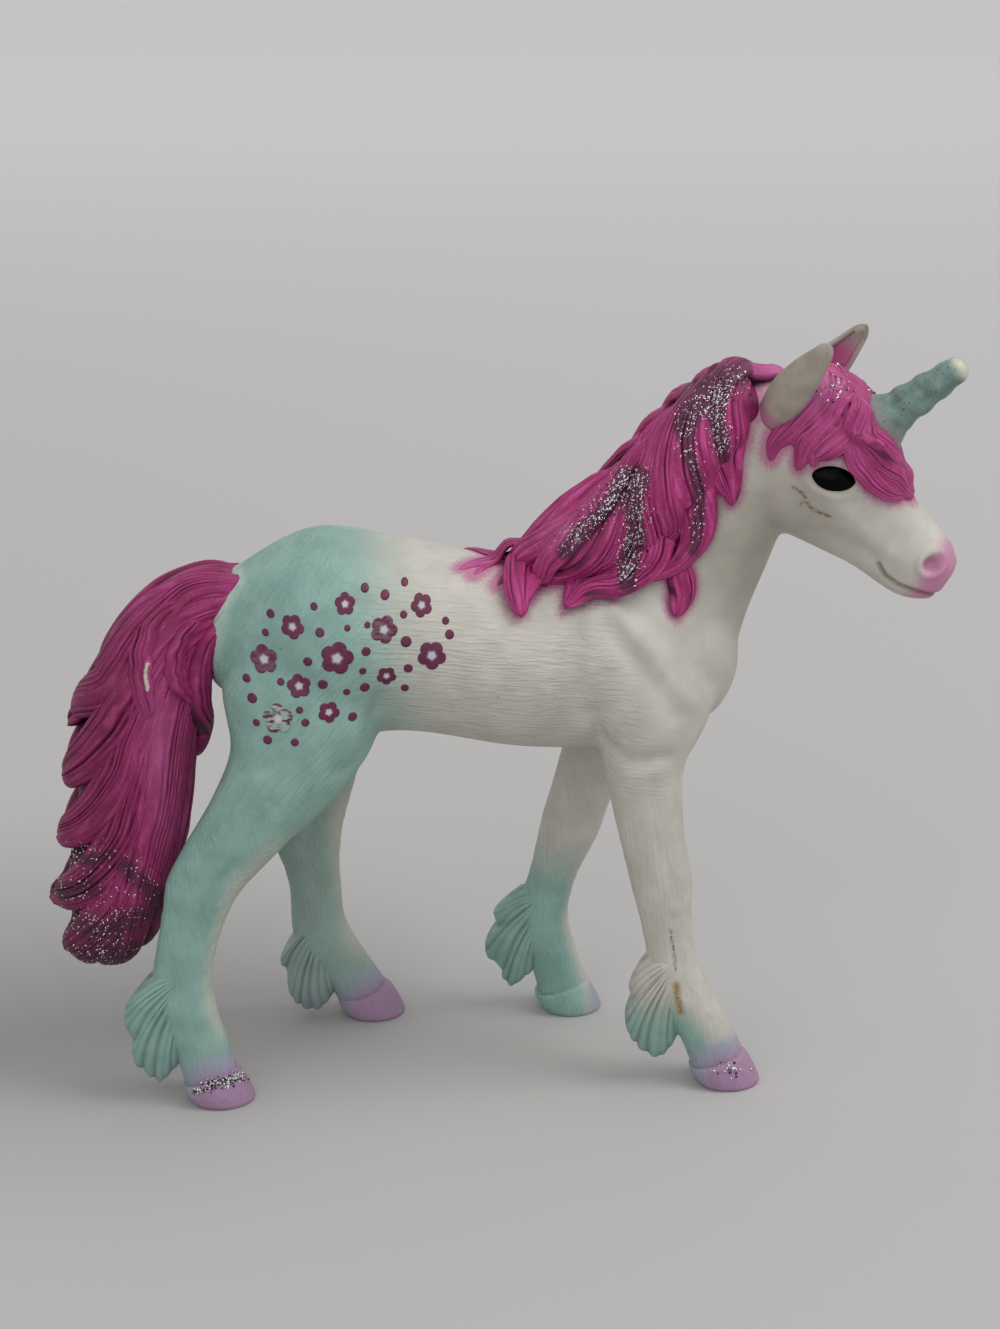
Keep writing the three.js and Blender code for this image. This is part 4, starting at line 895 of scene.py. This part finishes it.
def lock(places, outward, width, thickness, ridges, blunt, seed):
    """A lock of hair, unevenly ridged on its outer side, that swells from its root to a rounded tip.
    Gives its shape and, for each point, how deep in a groove it lies and its place across and along."""
    draw = np.random.default_rng(seed)
    share = np.linspace(0, 1, len(places))
    places = places - outward * (root_sink * (1 - smooth(share, 0, 0.14)))[:, None]
    along = unit(np.gradient(places, axis=0))
    across = unit(np.cross(along, outward))
    rise = np.cross(across, along)
    swell = root_width + (1 - root_width) * smooth(share, 0, 0.45)
    swell *= np.sqrt(np.clip(1 - share ** (1.2 + blunt), 0, 1))
    if blunt < 3:
        swell *= 1 - 0.35 * smooth(share, 0.4, 1)
    top = 7 * ridges + 4
    under = 7
    over = np.concatenate([np.linspace(-1, 1, top), np.linspace(1, -1, under + 2)[1:-1]])
    upper = np.arange(top + under) < top
    turns = draw.uniform(0, 2 * np.pi, 3)
    bent = over + 0.16 * np.sin(np.pi * over + turns[0]) + 0.07 * np.sin(2.2 * np.pi * over + turns[1])
    drift = 0.16 * np.sin(2 * np.pi * share * draw.uniform(0.5, 1.0) + turns[2])[:, None]
    phase = 0.5 * ridges * (bent + 1.25 + drift)
    which = np.clip(np.round(phase), 0, ridges + 2).astype(int)
    depths, rates, starts = (draw.uniform(*limits, ridges + 3) for limits in ((0.3, 1.0), (0.5, 1.6), (0, 6)))
    deep = depths[which] * (0.7 + 0.3 * np.sin(2 * np.pi * share[:, None] * rates[which] + starts[which]))
    cleft = (1 - np.clip(np.abs(np.sin(np.pi * phase)) * 1.15, 0, 1) ** 0.8) * deep
    edge = np.sqrt(np.clip(1 - over**2, 0, 1))
    depth = groove_depth * smooth(share, 0, 0.15) * (1 - 0.6 * smooth(share, 0.85, 1))
    height = np.where(upper, edge * (1 - depth[:, None] * cleft) + 0.05, -0.6 * edge)
    half = width / 2 * swell
    thick = thickness / 2 * (0.35 + 0.65 * swell) * np.sqrt(np.clip(1 - share ** (4 + 2 * blunt), 0, 1))
    rings = (
        places[:, None]
        + across[:, None] * (half[:, None] * over)[..., None]
        + rise[:, None] * (thick[:, None] * height)[..., None]
    )
    # The underside of a lock is given 0.6, which paints shade under it
    groove = np.where(upper, cleft * np.clip(depth[:, None] / groove_depth, 0, 1), 0.6)
    run = np.cumsum(np.linalg.norm(np.gradient(places, axis=0), axis=1))[:, None] + 0 * over
    marks = {
        "groove": np.concatenate([groove[:, ::-1].ravel(), [0.5, 0.2]]),
        "strand": np.concatenate([(phase + 20 * seed)[:, ::-1].ravel(), [0, 0]]),
        "run": np.concatenate([run.ravel(), [0, 0]]),
    }
    return tube(rings[:, ::-1]), marks


def laid(drawn, bed, sizes, reach, rings, pace=1.0):
    """What lock() needs of a lock whose route is drawn near a bed and then laid on it"""
    width, thickness, lift, ridges, blunt = sizes
    fine = spline(drawn, np.linspace(0, 1, rings) ** pace)
    places, outward = settled(fine, bed, lift + 0.1 * thickness, reach)
    return places, outward, width, thickness, ridges, blunt


def side_locks(rows, bed, side, rings=44):
    """Locks drawn in side view and laid on the flank of a bed"""
    return [
        laid([hit_side(bed, x, z, side) for x, z in route], bed, sizes, 2, rings, 0.9)
        for route, *sizes in rows
    ]


def top_locks(rows, bed):
    """Locks along the top of a bed, where those of both sides meet"""
    return [laid([(x, across, z) for x, z in route], bed, sizes, 9, 54) for route, across, *sizes in rows]


def hair(node, locks, bed, rules):
    """All locks of one node as one piece, over its smooth bed"""
    shapes, found = zip(*(lock(*row, seed) for seed, row in enumerate(locks)))
    points, faces = joined([*shapes, bed])
    plain = np.zeros(len(bed[0]))
    # The bed is given 0.4, which paints shade on it under the locks
    found = [*found, {"groove": plain + 0.4, "strand": plain, "run": plain}]
    marks = {mark: np.concatenate([one[mark] for one in found]) for mark in found[0]}
    for mark in ("pale", "worn", "dusky", "deep"):
        marks[mark] = rules[mark](points) if mark in rules else np.zeros(len(points))
    piece(f"{node}_locks", (points, faces), hair_paint, marks, node=node)
    return points, faces


coat_points, coat_faces = coat_skin()
coat_bed = tree_of(coat_points, coat_faces)

mane_pad = loft(mane_bed, sides=32, rings=40, start_cap=2.5, end_cap=1.5)
coat_and_pad = tree_of(*joined([(coat_points, coat_faces), mane_pad]))
hair_paint = hair_finish()


def under_glitter(points, node):
    """How much of the dark base of the glitter shows at each point of the near side"""
    near = [
        fade(to_line(points, spline(route, np.linspace(0, 1, 12))), 1.6 * spread)
        for route, spread, _, bed in glitter_bands if bed == node
    ]
    return np.max(near, axis=0) * (points[:, 1] < 1)


mane_marks = {
    # Painted highlight at the front of the crest, a paler patch low on the near side, and paler locks at the
    # withers
    "pale": lambda p: 0.9 * bell(p, (30.5, -2.5, 84), (3.2, 4, 2))
    + 0.35 * bell(p, (6.6, -8.5, 66), (2.6, 6, 1.6)) + 0.5 * smooth(p[:, 0], 0, -4) * (p[:, 2] > 59),
    "worn": lambda p: 0.6 * smooth(p[:, 0], -2, -6) * (p[:, 2] > 59),
    "dusky": lambda p: under_glitter(p, "mane"),
    # Painted shade: the top of the crest is darker
    "deep": lambda p: 0.35 * smooth(p[:, 2], 76, 81),
}
mane_lays = side_locks(mane_locks, coat_and_pad, -1) + side_locks(far_locks, coat_and_pad, 1)
mane_shape = hair("mane", mane_lays + top_locks(crest_locks, coat_and_pad), mane_pad, mane_marks)

tail_core = loft(tail_sections, sides=40, rings=50, end_cap=3)
tail_tree = tree_of(*tail_core)
tail_marks = {
    # Painted highlight on the near side of the tail
    "pale": lambda p: 0.45 * bell(p[:, [0, 2]], (-38.6, 42), (1.6, 8)) * (p[:, 1] < -2),
    "worn": lambda p: 0.85 * fade(to_line(p, glue_streak), 0.35) * (p[:, 1] < -4),
    "dusky": lambda p: 0.75 * np.maximum(under_glitter(p, "tail"), smooth(p[:, 2], 24, 17)),
    "deep": lambda p: 0.65 + 0.35 * smooth(p[:, 0], -40, -44),
}
# The far side of the tail has the long locks only
tail_lays = side_locks(tail_locks, tail_tree, -1, rings=54)
tail_lays += side_locks(tail_locks[1:9], tail_tree, 1, rings=54)
tail_shape = hair("tail", tail_lays + top_locks(dorsal_locks, tail_tree), tail_core, tail_marks)

forelock_pad = loft(forelock_bed, sides=32, rings=30, start_cap=1, end_cap=1)
forelock_pad = world_of(forelock_pad[0]), forelock_pad[1]
head_and_pad = tree_of(*joined([(coat_points, coat_faces), forelock_pad]))
# The whole forelock is painted lighter, as painted light, and paler still near its root on the near side
forelock_marks = {"pale": lambda p: 0.12 + 0.8 * bell(head_of(p), (1.4, -4, 8), (2, 2.4, 2.4))}
forelock_lays = [laid(world_of(route), head_and_pad, sizes, 1.2, 36) for route, *sizes in forelock_locks]
forelock_shape = hair("forelock", forelock_lays, forelock_pad, forelock_marks)


def hair_tree():
    """Every third point of the hair, to measure how far the coat lies from it"""
    points = np.vstack([shape[0] for shape in (mane_shape, tail_shape, forelock_shape)])[::3]
    tree = kdtree.KDTree(len(points))
    for index, point in enumerate(points.tolist()):
        tree.insert(point, index)
    tree.balance()
    return tree


hair_points = hair_tree()


def of_leg(name, points):
    """Which points lie on the half and side of the figure that a leg belongs to"""
    hind = points[:, 0] < between_legs
    return (hind == name.startswith("hind")) & ((points[:, 1] < 0) == name.endswith("right"))


def coat_marks(points):
    """Where each colour of the airbrush, the painted shade and each pattern of strokes lies"""
    x, y, z = points.T
    head = head_of(points)
    hind = x < between_legs
    mint = smooth(x + 0.12 * (z - 52), -5, -20)
    lower = smooth(z, 42, 36) * np.where(y > 0, far_mint, 1)
    mint = np.where(hind, np.maximum(mint * np.where((y > 0) & (z < 40), far_mint, 1), lower), 0)
    right_fore = (~hind) & (y < 0)
    left_fore = (~hind) & (y > 0) & (z < 38)
    front, sole = np.zeros((2, len(points)))
    for name, rows in leg_sections.items():
        here = of_leg(name, points)
        front[here] = np.interp(z[here], *np.array(rows)[::-1, [2, 0]].T)
        sole[here] = soles[name]
    mint = np.where(right_fore & (z < 30), smooth(z, 15, 6) * smooth(x - front, 2, -2.5), mint)
    mint = np.where(left_fore, smooth(z, 27, 14) * smooth(x - front, 4, 1), mint)
    lilac = smooth(z - 0.12 * (x - sole), 8.6, 1.8) * (0.35 + 0.65 * smooth(x - sole, -5, -1.4)) * (z < 10)
    lilac = lilac * np.where(left_fore, 0.5 * smooth(x - sole, 0.4, 3.4), 1)
    cream = smooth(x - front, 1.4, 3.6) * smooth(z, 36, 27) * smooth(z, 6, 10) * hind
    snout = (head[:, 0] > 15) & (x > 35) & (z > 50)
    blush = np.where(snout, smooth(head[:, 0] + 0.12 * head[:, 2], 21.2, 25.4), 0)
    around = np.hypot(head[:, 0] - nostril["middle"][0], head[:, 2] - nostril["middle"][1])
    blush = np.maximum(blush, 0.75 * snout * smooth(around, 1.2, 0.8) * (np.abs(head[:, 1]) > 1.2))
    blush = np.maximum(blush, 0.25 * right_fore * smooth(z, 9, 4) * smooth(x - front, 0, 2.5) * (z < 9))
    distance = np.array([hair_points.find(point)[2] for point in points.tolist()])
    halo = fade(distance, 1.1) * (x > -20)
    rim = fade(distance, 0.7) * (x < -20)
    shank = smooth(z, 40, 33)
    thigh = smooth(x, -10, -20) * (1 - shank)
    flank = (1 - shank) * (1 - thigh) * (1 - 0.6 * smooth(x + 0.3 * (z - 55), 8, 16))
    # Painted shade on the neck and the cheek, and in the line of the mouth
    shade = 0.45 * bell(points, (27, -5, 62), (6, 9, 9)) + 0.4 * bell(points, (33.5, -7, 69), (4.5, 6, 4.5))
    shade = np.maximum(shade, 0.9 * snout * fade(to_line(head, mouth_line), 0.3))
    right = y < -3
    scratch = right * np.max([fade(to_line(points, line), width) for line, width in scratches], axis=0)
    spot = right * fade(to_line(points, stain["line"]), stain["width"])
    return {
        "mint": mint, "lilac": lilac, "cream": cream, "blush": blush, "halo": halo, "rim": rim, "stain": spot,
        "shank": shank, "thigh": thigh, "flank": flank, "shade": shade, "scratch": scratch,
    }


def hoof_shape(name):
    """The hoof wall with its raised coronet and flat sole"""
    x, y = soles[name], leg_sections[name][-1][1]
    rows = [(0, 0.9, 0.9), (0.06, 0.95, 0.95), (0.2, 1.0, 1.0), (0.5, 1.01, 1.02), (0.8, 1.0, 1.0),
            (1.0, 0.98, 0.98), (1.1, 0.95, 0.95), (1.18, 0.88, 0.88), (1.22, 0.76, 0.76)]
    angle = np.linspace(0, 2 * np.pi, 48, endpoint=False)
    rings = []
    for share, long, wide in spline(rows, np.linspace(0, 1, 40), even=True):
        mixed = min(share, 1)
        length = (hoof["length"] * (1 - mixed) + hoof["coronet"] * mixed) * long
        width = (hoof["width"] * (1 - mixed) + hoof["coronet_width"] * mixed) * wide
        front = np.cos(angle)
        heel = 1 - 0.12 * np.clip(-front, 0, 1) ** 3
        tall = hoof["height"] * (1 + 0.3 * front * smooth(share, 0, 0.6))
        px = x - hoof["lean"] * share + length / 2 * front * heel
        py = y + width / 2 * np.sin(angle)
        rings.append(np.stack([px, py, np.maximum(tall * share, 0)], -1))
    return tube(np.array(rings))


def feather_shape(name, steps=170, half_steps=24):
    """The hair fanned down the back of a fetlock: a thick leaf, grooved between its strands.
    Gives its shape and how deep in a groove each of its points lies."""
    hub, outline, strands = feathers[name]
    draw = np.random.default_rng(strands)
    part = np.linspace(0, 1, steps)[:, None]
    rim = spline(outline, part[:, 0])
    share = np.sin(np.linspace(0, np.pi / 2, half_steps))
    share = np.concatenate([share, share[-2::-1]])
    side = np.where(np.arange(len(share)) < half_steps, -1, 1)
    phase = strands * (part + 0.02 * np.sin(9 * part + side)) + 0.8 * np.sin(np.pi * share) + 0.3 * side + 1
    depths = draw.uniform(0.4, 1, strands + 4)
    cleft = (1 - np.abs(np.sin(np.pi * phase)) ** 0.8) * depths[np.round(phase).astype(int)]
    reach = share * (1 - 0.04 * cleft * smooth(share, 0.7, 1))
    half = (1.7 + 0.85 * smooth(share, 0, 0.3)) * np.sqrt(np.clip(1 - share**2.8, 0, 1))
    groove = cleft * smooth(share, 0.1, 0.4)
    half = half * np.clip(1 - (2 * part - 1) ** 6, 0.1, 1) ** 0.5 * (1 - 0.15 * groove)
    bow = 0.5 * np.sin(np.pi * share) * (1 - part)
    points, faces = tube(np.stack([
        hub[0] + reach * (rim[:, :1] - hub[0]) - bow,
        leg_sections[name][6][1] + side * half,
        hub[1] + reach * (rim[:, 1:] - hub[1]),
    ], -1))
    return (points, faces), np.concatenate([groove.ravel(), [0, 0]])


coat_paint = coat_finish()
lean = math.radians(throat["lean"])
neck_direction = np.array([math.cos(lean), 0, math.sin(lean)])
throat_place = (throat["x"], 0, throat["z"])
seam_place = (0, 0, leg_seam_height)
for node, direction in (("body", neck_direction), ("head", -neck_direction)):
    shape = cut(coat_points, coat_faces, [(seam_place, (0, 0, -1)), (throat_place, direction)])
    piece(f"{node}_coat", shape, coat_paint, coat_marks(shape[0]), node=node, sharp=flat_rims)
legs_half = cut(coat_points, coat_faces, [(seam_place, (0, 0, 1))])
leg_shapes = {}
for name in leg_sections:
    shank = chosen(legs_half, of_leg(name, legs_half[0]))
    feather, grooves = feather_shape(name)
    shape = joined([shank, hoof_shape(name), feather])
    marks = coat_marks(shape[0])
    # Painted shade in the grooves between the feather's strands
    marks["shade"][-len(grooves):] = 0.6 * grooves
    marks["shank"][-len(grooves):] = 0
    leg_shapes[name] = shape
    piece(f"{name}_coat", shape, coat_paint, marks, node=name, sharp=flat_rims)


def eye_place(along, over):
    """Where a place round the eye lies, x and z, in the head's own frame"""
    slant = math.radians(eye["slant"])
    x = eye["middle"][0] + along * math.cos(slant) - over * math.sin(slant)
    return x, eye["middle"][2] + along * math.sin(slant) + over * math.cos(slant)


def eye_shape(side):
    """A glossy almond, domed over its socket. Its foot lies a little under a plane through the lids."""
    radius = np.linspace(1, 0.04, 14)[:, None]
    angle = np.linspace(0, 2 * np.pi, 56, endpoint=False)
    along = radius * np.cos(angle) * eye["half_length"]
    over = radius * np.sin(angle) * np.abs(np.sin(angle)) ** 0.5 * eye["half_height"]
    x, z = eye_place(along, over)
    lids = []
    for turned in np.linspace(0, 2 * np.pi, 12, endpoint=False):
        a = 1.25 * eye["half_length"] * math.cos(turned)
        b = 1.3 * eye["half_height"] * math.sin(turned)
        lid_x, lid_z = eye_place(a, b)
        start = Vector(world_of((lid_x, side * 20, lid_z)))
        place = coat_bed.ray_cast(start, Vector(head_pose @ np.array([0, -side, 0])))[0]
        lids.append((1, a, b, side * head_of(np.array(place))[1]))
    lids = np.array(lids)
    level, slope, rise = np.linalg.lstsq(lids[:, :3], lids[:, 3], rcond=None)[0]
    across = level + slope * along + rise * over - eye["sink"] + eye["dome"] * (1 - radius**2)
    front = np.stack([x, side * across, z], -1)
    rear = front[:1] - [0, side * 1.2, 0]
    rings = np.concatenate([rear, front])
    points, faces = tube(rings if side > 0 else rings[:, ::-1])
    return world_of(points), faces


eye_paint = eye_finish()
for side, name in ((-1, "eye_right"), (1, "eye_left")):
    piece(f"{name}_dome", eye_shape(side), eye_paint, node=name)


def horn_shape():
    """A blunt horn with a winding groove, springing from a smooth flared base"""
    rings = []
    heights, radii = np.array(horn_profile).T
    angle = np.linspace(0, 2 * np.pi, 56, endpoint=False)
    for share in np.concatenate([np.linspace(0, 0.97, 90), np.linspace(0.975, 1, 12)]):
        height = heights[0] + (horn["length"] + 2.6) * share
        along = max(height, 0) / horn["length"]
        radius = np.interp(height, heights, radii)
        radius *= math.sqrt(max(1 - max(0, (share - 0.9) / 0.1) ** 2.4, 0))
        twist = np.cos(angle - 2 * np.pi * horn["turns"] * along)
        depth = horn["groove"] * smooth(along, 0.16, 0.3) * (1 - smooth(along, 0.85, 1))
        knob = radius * (1 + depth * (np.abs(twist) ** 0.7 * np.sign(twist)))
        skirt = 1 + 0.35 * smooth(height, 1.2, heights[0]) * np.clip(np.cos(angle), 0, 1) ** 2
        rings.append(np.stack([knob * skirt * np.cos(angle), knob * np.sin(angle), 0 * angle + height], -1))
    points, faces = tube(np.array(rings))
    foot = np.array([horn["x"], 0, horn["z"]])
    return (world_of(points @ rotation(1, horn["lean"]).T + foot), faces), points


horn_mesh, horn_local = horn_shape()
horn_marks = {
    "bare": smooth(horn_local[:, 2], 2.8, 1),
    "rub": smooth(horn_local[:, 2], 10.2, 11.4) * smooth(horn_local[:, 1], 0.4, -0.4) * 0.9,
}
piece("horn_spiral", horn_mesh, horn_finish(), horn_marks, node="horn")


def ear_shape(side):
    """A cupped leaf with a thick rounded rim, its hollow forwards"""
    half_width, depth, wall = ear["width"] / 2, ear["depth"], ear["wall"]
    steps = np.concatenate([np.linspace(0, 0.9, 40), np.linspace(0.92, 1, 12)])
    shares, leaf = spline(ear_leaf, steps, even=True).T
    leaf *= np.sqrt(np.clip(1 - np.clip((shares - 0.9) / 0.1, 0, 1) ** 2, 0, 1))
    outer = np.radians(np.linspace(-112, 112, 30))
    inner = np.radians(np.linspace(100, -100, 24))
    rings, blush = [], []
    for share, spread in zip(shares, leaf):
        hollow = smooth(share, 0.12, 0.24) * (1 - smooth(share, 0.9, 0.98))
        back = np.stack([-depth / 2 * spread * np.cos(outer), half_width * spread * np.sin(outer)], -1)
        reach = np.clip(1 - wall / max(half_width * spread, 0.2), 0.1, 1)
        inwards = (1 - hollow) * depth / 3 * spread - (depth / 2 * spread - wall) * hollow
        cup = np.stack([inwards * np.cos(inner), half_width * spread * reach * np.sin(inner)], -1)
        ring = np.vstack([back, cup])
        rings.append(np.column_stack([ring, np.full(len(ring), -1 + (ear["length"] + 1.7) * share)]))
        blush += [0.5 * smooth(share, 0.2, 0.08)] * len(outer) + [smooth(share, 1.05, 0.5)] * len(inner)
    points, faces = tube(np.array(rings))
    tilt = rotation(1, ear_lean[side]) @ rotation(0, -side * ear_splay) @ rotation(2, -side * ear_turn)
    foot = np.array([ear["x"] - ear_back[side], side * ear["side"], ear["z"]])
    marks = {"blush": blush + [0.5, 0], "specks": smooth(points[:, 2], 4.5, 8.5)}
    return (world_of(points @ tilt.T + foot), faces), marks


ear_paint = ear_finish()
for side, name in ((-1, "ear_right"), (1, "ear_left")):
    shape, marks = ear_shape(side)
    piece(f"{name}_leaf", shape, ear_paint, marks, node=name)


# Print on the haunch: flowers with five petals and dots, x, z and radius
flowers = [
    (-13.4, 56.6, 1.5), (-17.6, 59.4, 1.15), (-9.2, 58.8, 1.2), (-18.6, 53.8, 1.85), (-8.2, 53.6, 1.6),
    (-13.2, 51.4, 1.1), (-23.4, 57, 1.3), (-22.8, 50.6, 1.35), (-26.6, 53.2, 1.55), (-19.6, 47.6, 1.2),
    (-25.2, 47, 1.7),
]
dots = [
    (-15.4, 60.8, 0.45), (-13.2, 60, 0.5), (-11, 61, 0.4), (-6.6, 57.2, 0.4), (-6.2, 55.8, 0.5),
    (-11, 55.2, 0.6),
    (-10.8, 52.2, 0.5), (-15.4, 54.4, 0.5), (-15.8, 52.2, 0.4), (-15.6, 50.2, 0.55), (-11.2, 49.8, 0.45),
    (-20.4, 56.6, 0.5), (-21, 59.2, 0.4), (-25.8, 58, 0.45), (-26.4, 56, 0.4), (-21.8, 53.4, 0.5),
    (-24.8, 51, 0.4),
    (-20.2, 50.8, 0.55), (-17.6, 49.8, 0.4), (-17, 46.8, 0.5), (-22.2, 46.6, 0.45), (-22.8, 48, 0.4),
    (-28.6, 51, 0.45), (-28, 49, 0.55), (-27.6, 46.4, 0.4), (-26.4, 44.6, 0.5), (-23.4, 44.4, 0.45),
    (-15.2, 57.2, 0.35), (-11.2, 58, 0.4), (-17.4, 57, 0.35),
]
# How far some of the flowers are rubbed off, by their place in the list
rubbed_flowers = {0: 0.15, 8: 0.1, 10: 0.85}
# The ink stands out from the coat and is rooted in it
print_height = 0.045
print_root = 0.1


def print_patch(x, z, radius, petals, steps, rings):
    """A thin closed shell laid on the coat from its right side"""
    angle = np.linspace(0, 2 * np.pi, steps, endpoint=False)
    outline = np.full(steps, radius)
    if petals:
        outline = radius * (0.76 + 0.24 * np.abs(np.cos(petals * angle / 2)) ** 0.8)
    share = np.linspace(1, 0.12, rings)[:, None]
    px, pz = x + share * outline * np.sin(angle + x), z + share * outline * np.cos(angle + x)
    base = np.array([[hit_side(coat_bed, a, b, -1)[1] for a, b in zip(xs, zs)] for xs, zs in zip(px, pz)])
    front = np.stack([px, base - print_height, pz], -1)
    rear = np.stack([px, base + print_root, pz], -1)
    points, faces = tube(np.concatenate([rear[::-1], front])[:, ::-1])
    middle = np.concatenate([np.ones((rings, steps)), np.broadcast_to(share, (rings, steps))]).ravel()
    return (points, faces), np.concatenate([middle, [1, 0.0]])


def haunch_print():
    shapes, middles, rubbed = [], [], []
    for index, (x, z, radius) in enumerate(flowers):
        shape, share = print_patch(x, z, radius, 5, 50, 9)
        shapes.append(shape)
        middles.append(smooth(share, 0.36, 0.3))
        rubbed.append(np.full(len(shape[0]), rubbed_flowers.get(index, 0)))
    for x, z, radius in dots:
        shape, share = print_patch(x, z, radius, 0, 18, 3)
        shapes.append(shape)
        middles.append(0 * share)
        rubbed.append(0 * share)
    marks = {"middle": np.concatenate(middles), "rubbed": np.concatenate(rubbed)}
    piece("haunch_print", joined(shapes), print_finish(), marks)


haunch_print()


def glitter_finish():
    """Silver flakes, of which a part is painted dark, as painted shade for flakes that catch no light"""
    finish = Finish("silver glitter", roughness=0.25, metallic=1.0)
    finish.set(base_color=finish.mix(finish.mark("dark_flake"), (222, 220, 222), (74, 68, 74)))
    return finish.material


def flake(place, normal, radius, draw):
    """A thin six-sided flake, tipped a little off the surface it lies on"""
    place, normal = np.array(place), np.array(normal)
    place = place + flake_lift * normal
    normal = unit(normal + draw.normal(0, flake_tilt, 3))
    side = unit(np.cross(normal, draw.normal(0, 1, 3)))
    other = np.cross(normal, side)
    angle = np.linspace(0, 2 * np.pi, 6, endpoint=False)[:, None]
    ring = place + radius * (np.cos(angle) * side + np.sin(angle) * other)
    return tube(np.array([ring - flake_half * normal, ring + flake_half * normal]))


def glitter():
    """Flakes seen from the near side, from a little above"""
    draw = np.random.default_rng(11)
    shapes = {"mane": mane_shape, "tail": tail_shape, **leg_shapes}
    beds = {name: tree_of(*shape) for name, shape in shapes.items()}
    flakes = []
    for route, spread, count, bed in glitter_bands:
        rise = glitter_rise["leg" if bed in leg_shapes else "hair"]
        for x, z in spline(route, draw.uniform(0, 1, count)):
            start = Vector((x + draw.normal(0, spread), -60, z + rise + draw.normal(0, spread)))
            place, normal, _, _ = beds[bed].ray_cast(start, Vector((0, 3, -1)).normalized())
            if place is not None:
                flakes.append(flake(place, normal, glitter_radius * draw.uniform(0.6, 1.3), draw))
    forelock_tree = tree_of(*forelock_shape)
    for middle, spread, count in crown_glitter:
        for point in world_of(np.array(middle) + draw.normal(0, spread, (count, 3))):
            place, normal, _, _ = forelock_tree.find_nearest(Vector(point))
            flakes.append(flake(place, normal, glitter_radius * draw.uniform(0.8, 1.7), draw))
    # Painted shade: a share of the flakes are painted dark
    dark_flake = np.repeat(draw.random(len(flakes)) < dark_flake_share, len(flakes[0][0]))
    piece("hair_glitter", joined(flakes), glitter_finish(), {"dark_flake": dark_flake})


glitter()


# Painted shadow: the floor is a little darker behind the tail
floor_shade = {"middle": (-0.062, 0.02, 0), "reach": 0.075, "share": 0.36}


def floor_finish():
    finish = Finish("pale floor", roughness=0.9, specular_ior_level=0.1)
    place = finish.node("ShaderNodeTexCoord", output="Object")
    depth = finish.node("ShaderNodeSeparateXYZ", inputs={"Vector": place}, output="Y")
    # The floor is painted lighter further back: painted light
    finish.tone = finish.mix(depth.between(-0.1, 1.2), (182, 181, 180), (234, 232, 236))
    ends = {0: place, 1: floor_shade["middle"]}
    away = finish.node("ShaderNodeVectorMath", {"operation": "DISTANCE"}, ends, output="Value")
    finish.over((1 - away.between(0, floor_shade["reach"])) * floor_shade["share"], (104, 101, 101))
    return finish.material


def lay_floor():
    work = bmesh.new()
    bmesh.ops.create_circle(work, cap_ends=True, radius=7.0, segments=96)
    mesh = bpy.data.meshes.new("floor")
    work.to_mesh(mesh)
    work.free()
    mesh.materials.append(floor_finish())
    floor = bpy.data.objects.new("floor", mesh)
    bpy.context.scene.collection.objects.link(floor)


def aim(thing, place, target):
    thing.location = Vector((np.array(place) + figure_shift) * METRE)
    direction = Vector((np.array(target) - np.array(place)).tolist())
    thing.rotation_euler = direction.to_track_quat("-Z", "Y").to_euler()


def lamp(name, place, size, power):
    light = bpy.data.lights.new(name, "AREA")
    light.shape = "DISK"
    light.size = size * METRE
    light.energy = power
    made = bpy.data.objects.new(name, light)
    bpy.context.scene.collection.objects.link(made)
    aim(made, place, (0, 0, 30))


def studio():
    world = bpy.data.worlds.new("soft room")
    bpy.context.scene.world = world
    world.use_nodes = True
    background = world.node_tree.nodes["Background"]
    background.inputs["Color"].default_value = (1.0, 0.99, 0.98, 1.0)
    background.inputs["Strength"].default_value = 0.67
    lamp("window", (430, -120, 640), 420, 2.2)
    lamp("fill", (-160, -480, 300), 600, 0.6)
    data = bpy.data.cameras.new("camera")
    data.lens = lens
    data.sensor_width = 36
    data.sensor_fit = "HORIZONTAL"
    data.clip_end = 100
    camera = bpy.data.objects.new("camera", data)
    bpy.context.scene.collection.objects.link(camera)
    aim(camera, camera_place, camera_target)
    bpy.context.scene.camera = camera
    bpy.context.scene.view_settings.view_transform = "Standard"


lay_floor()
studio()
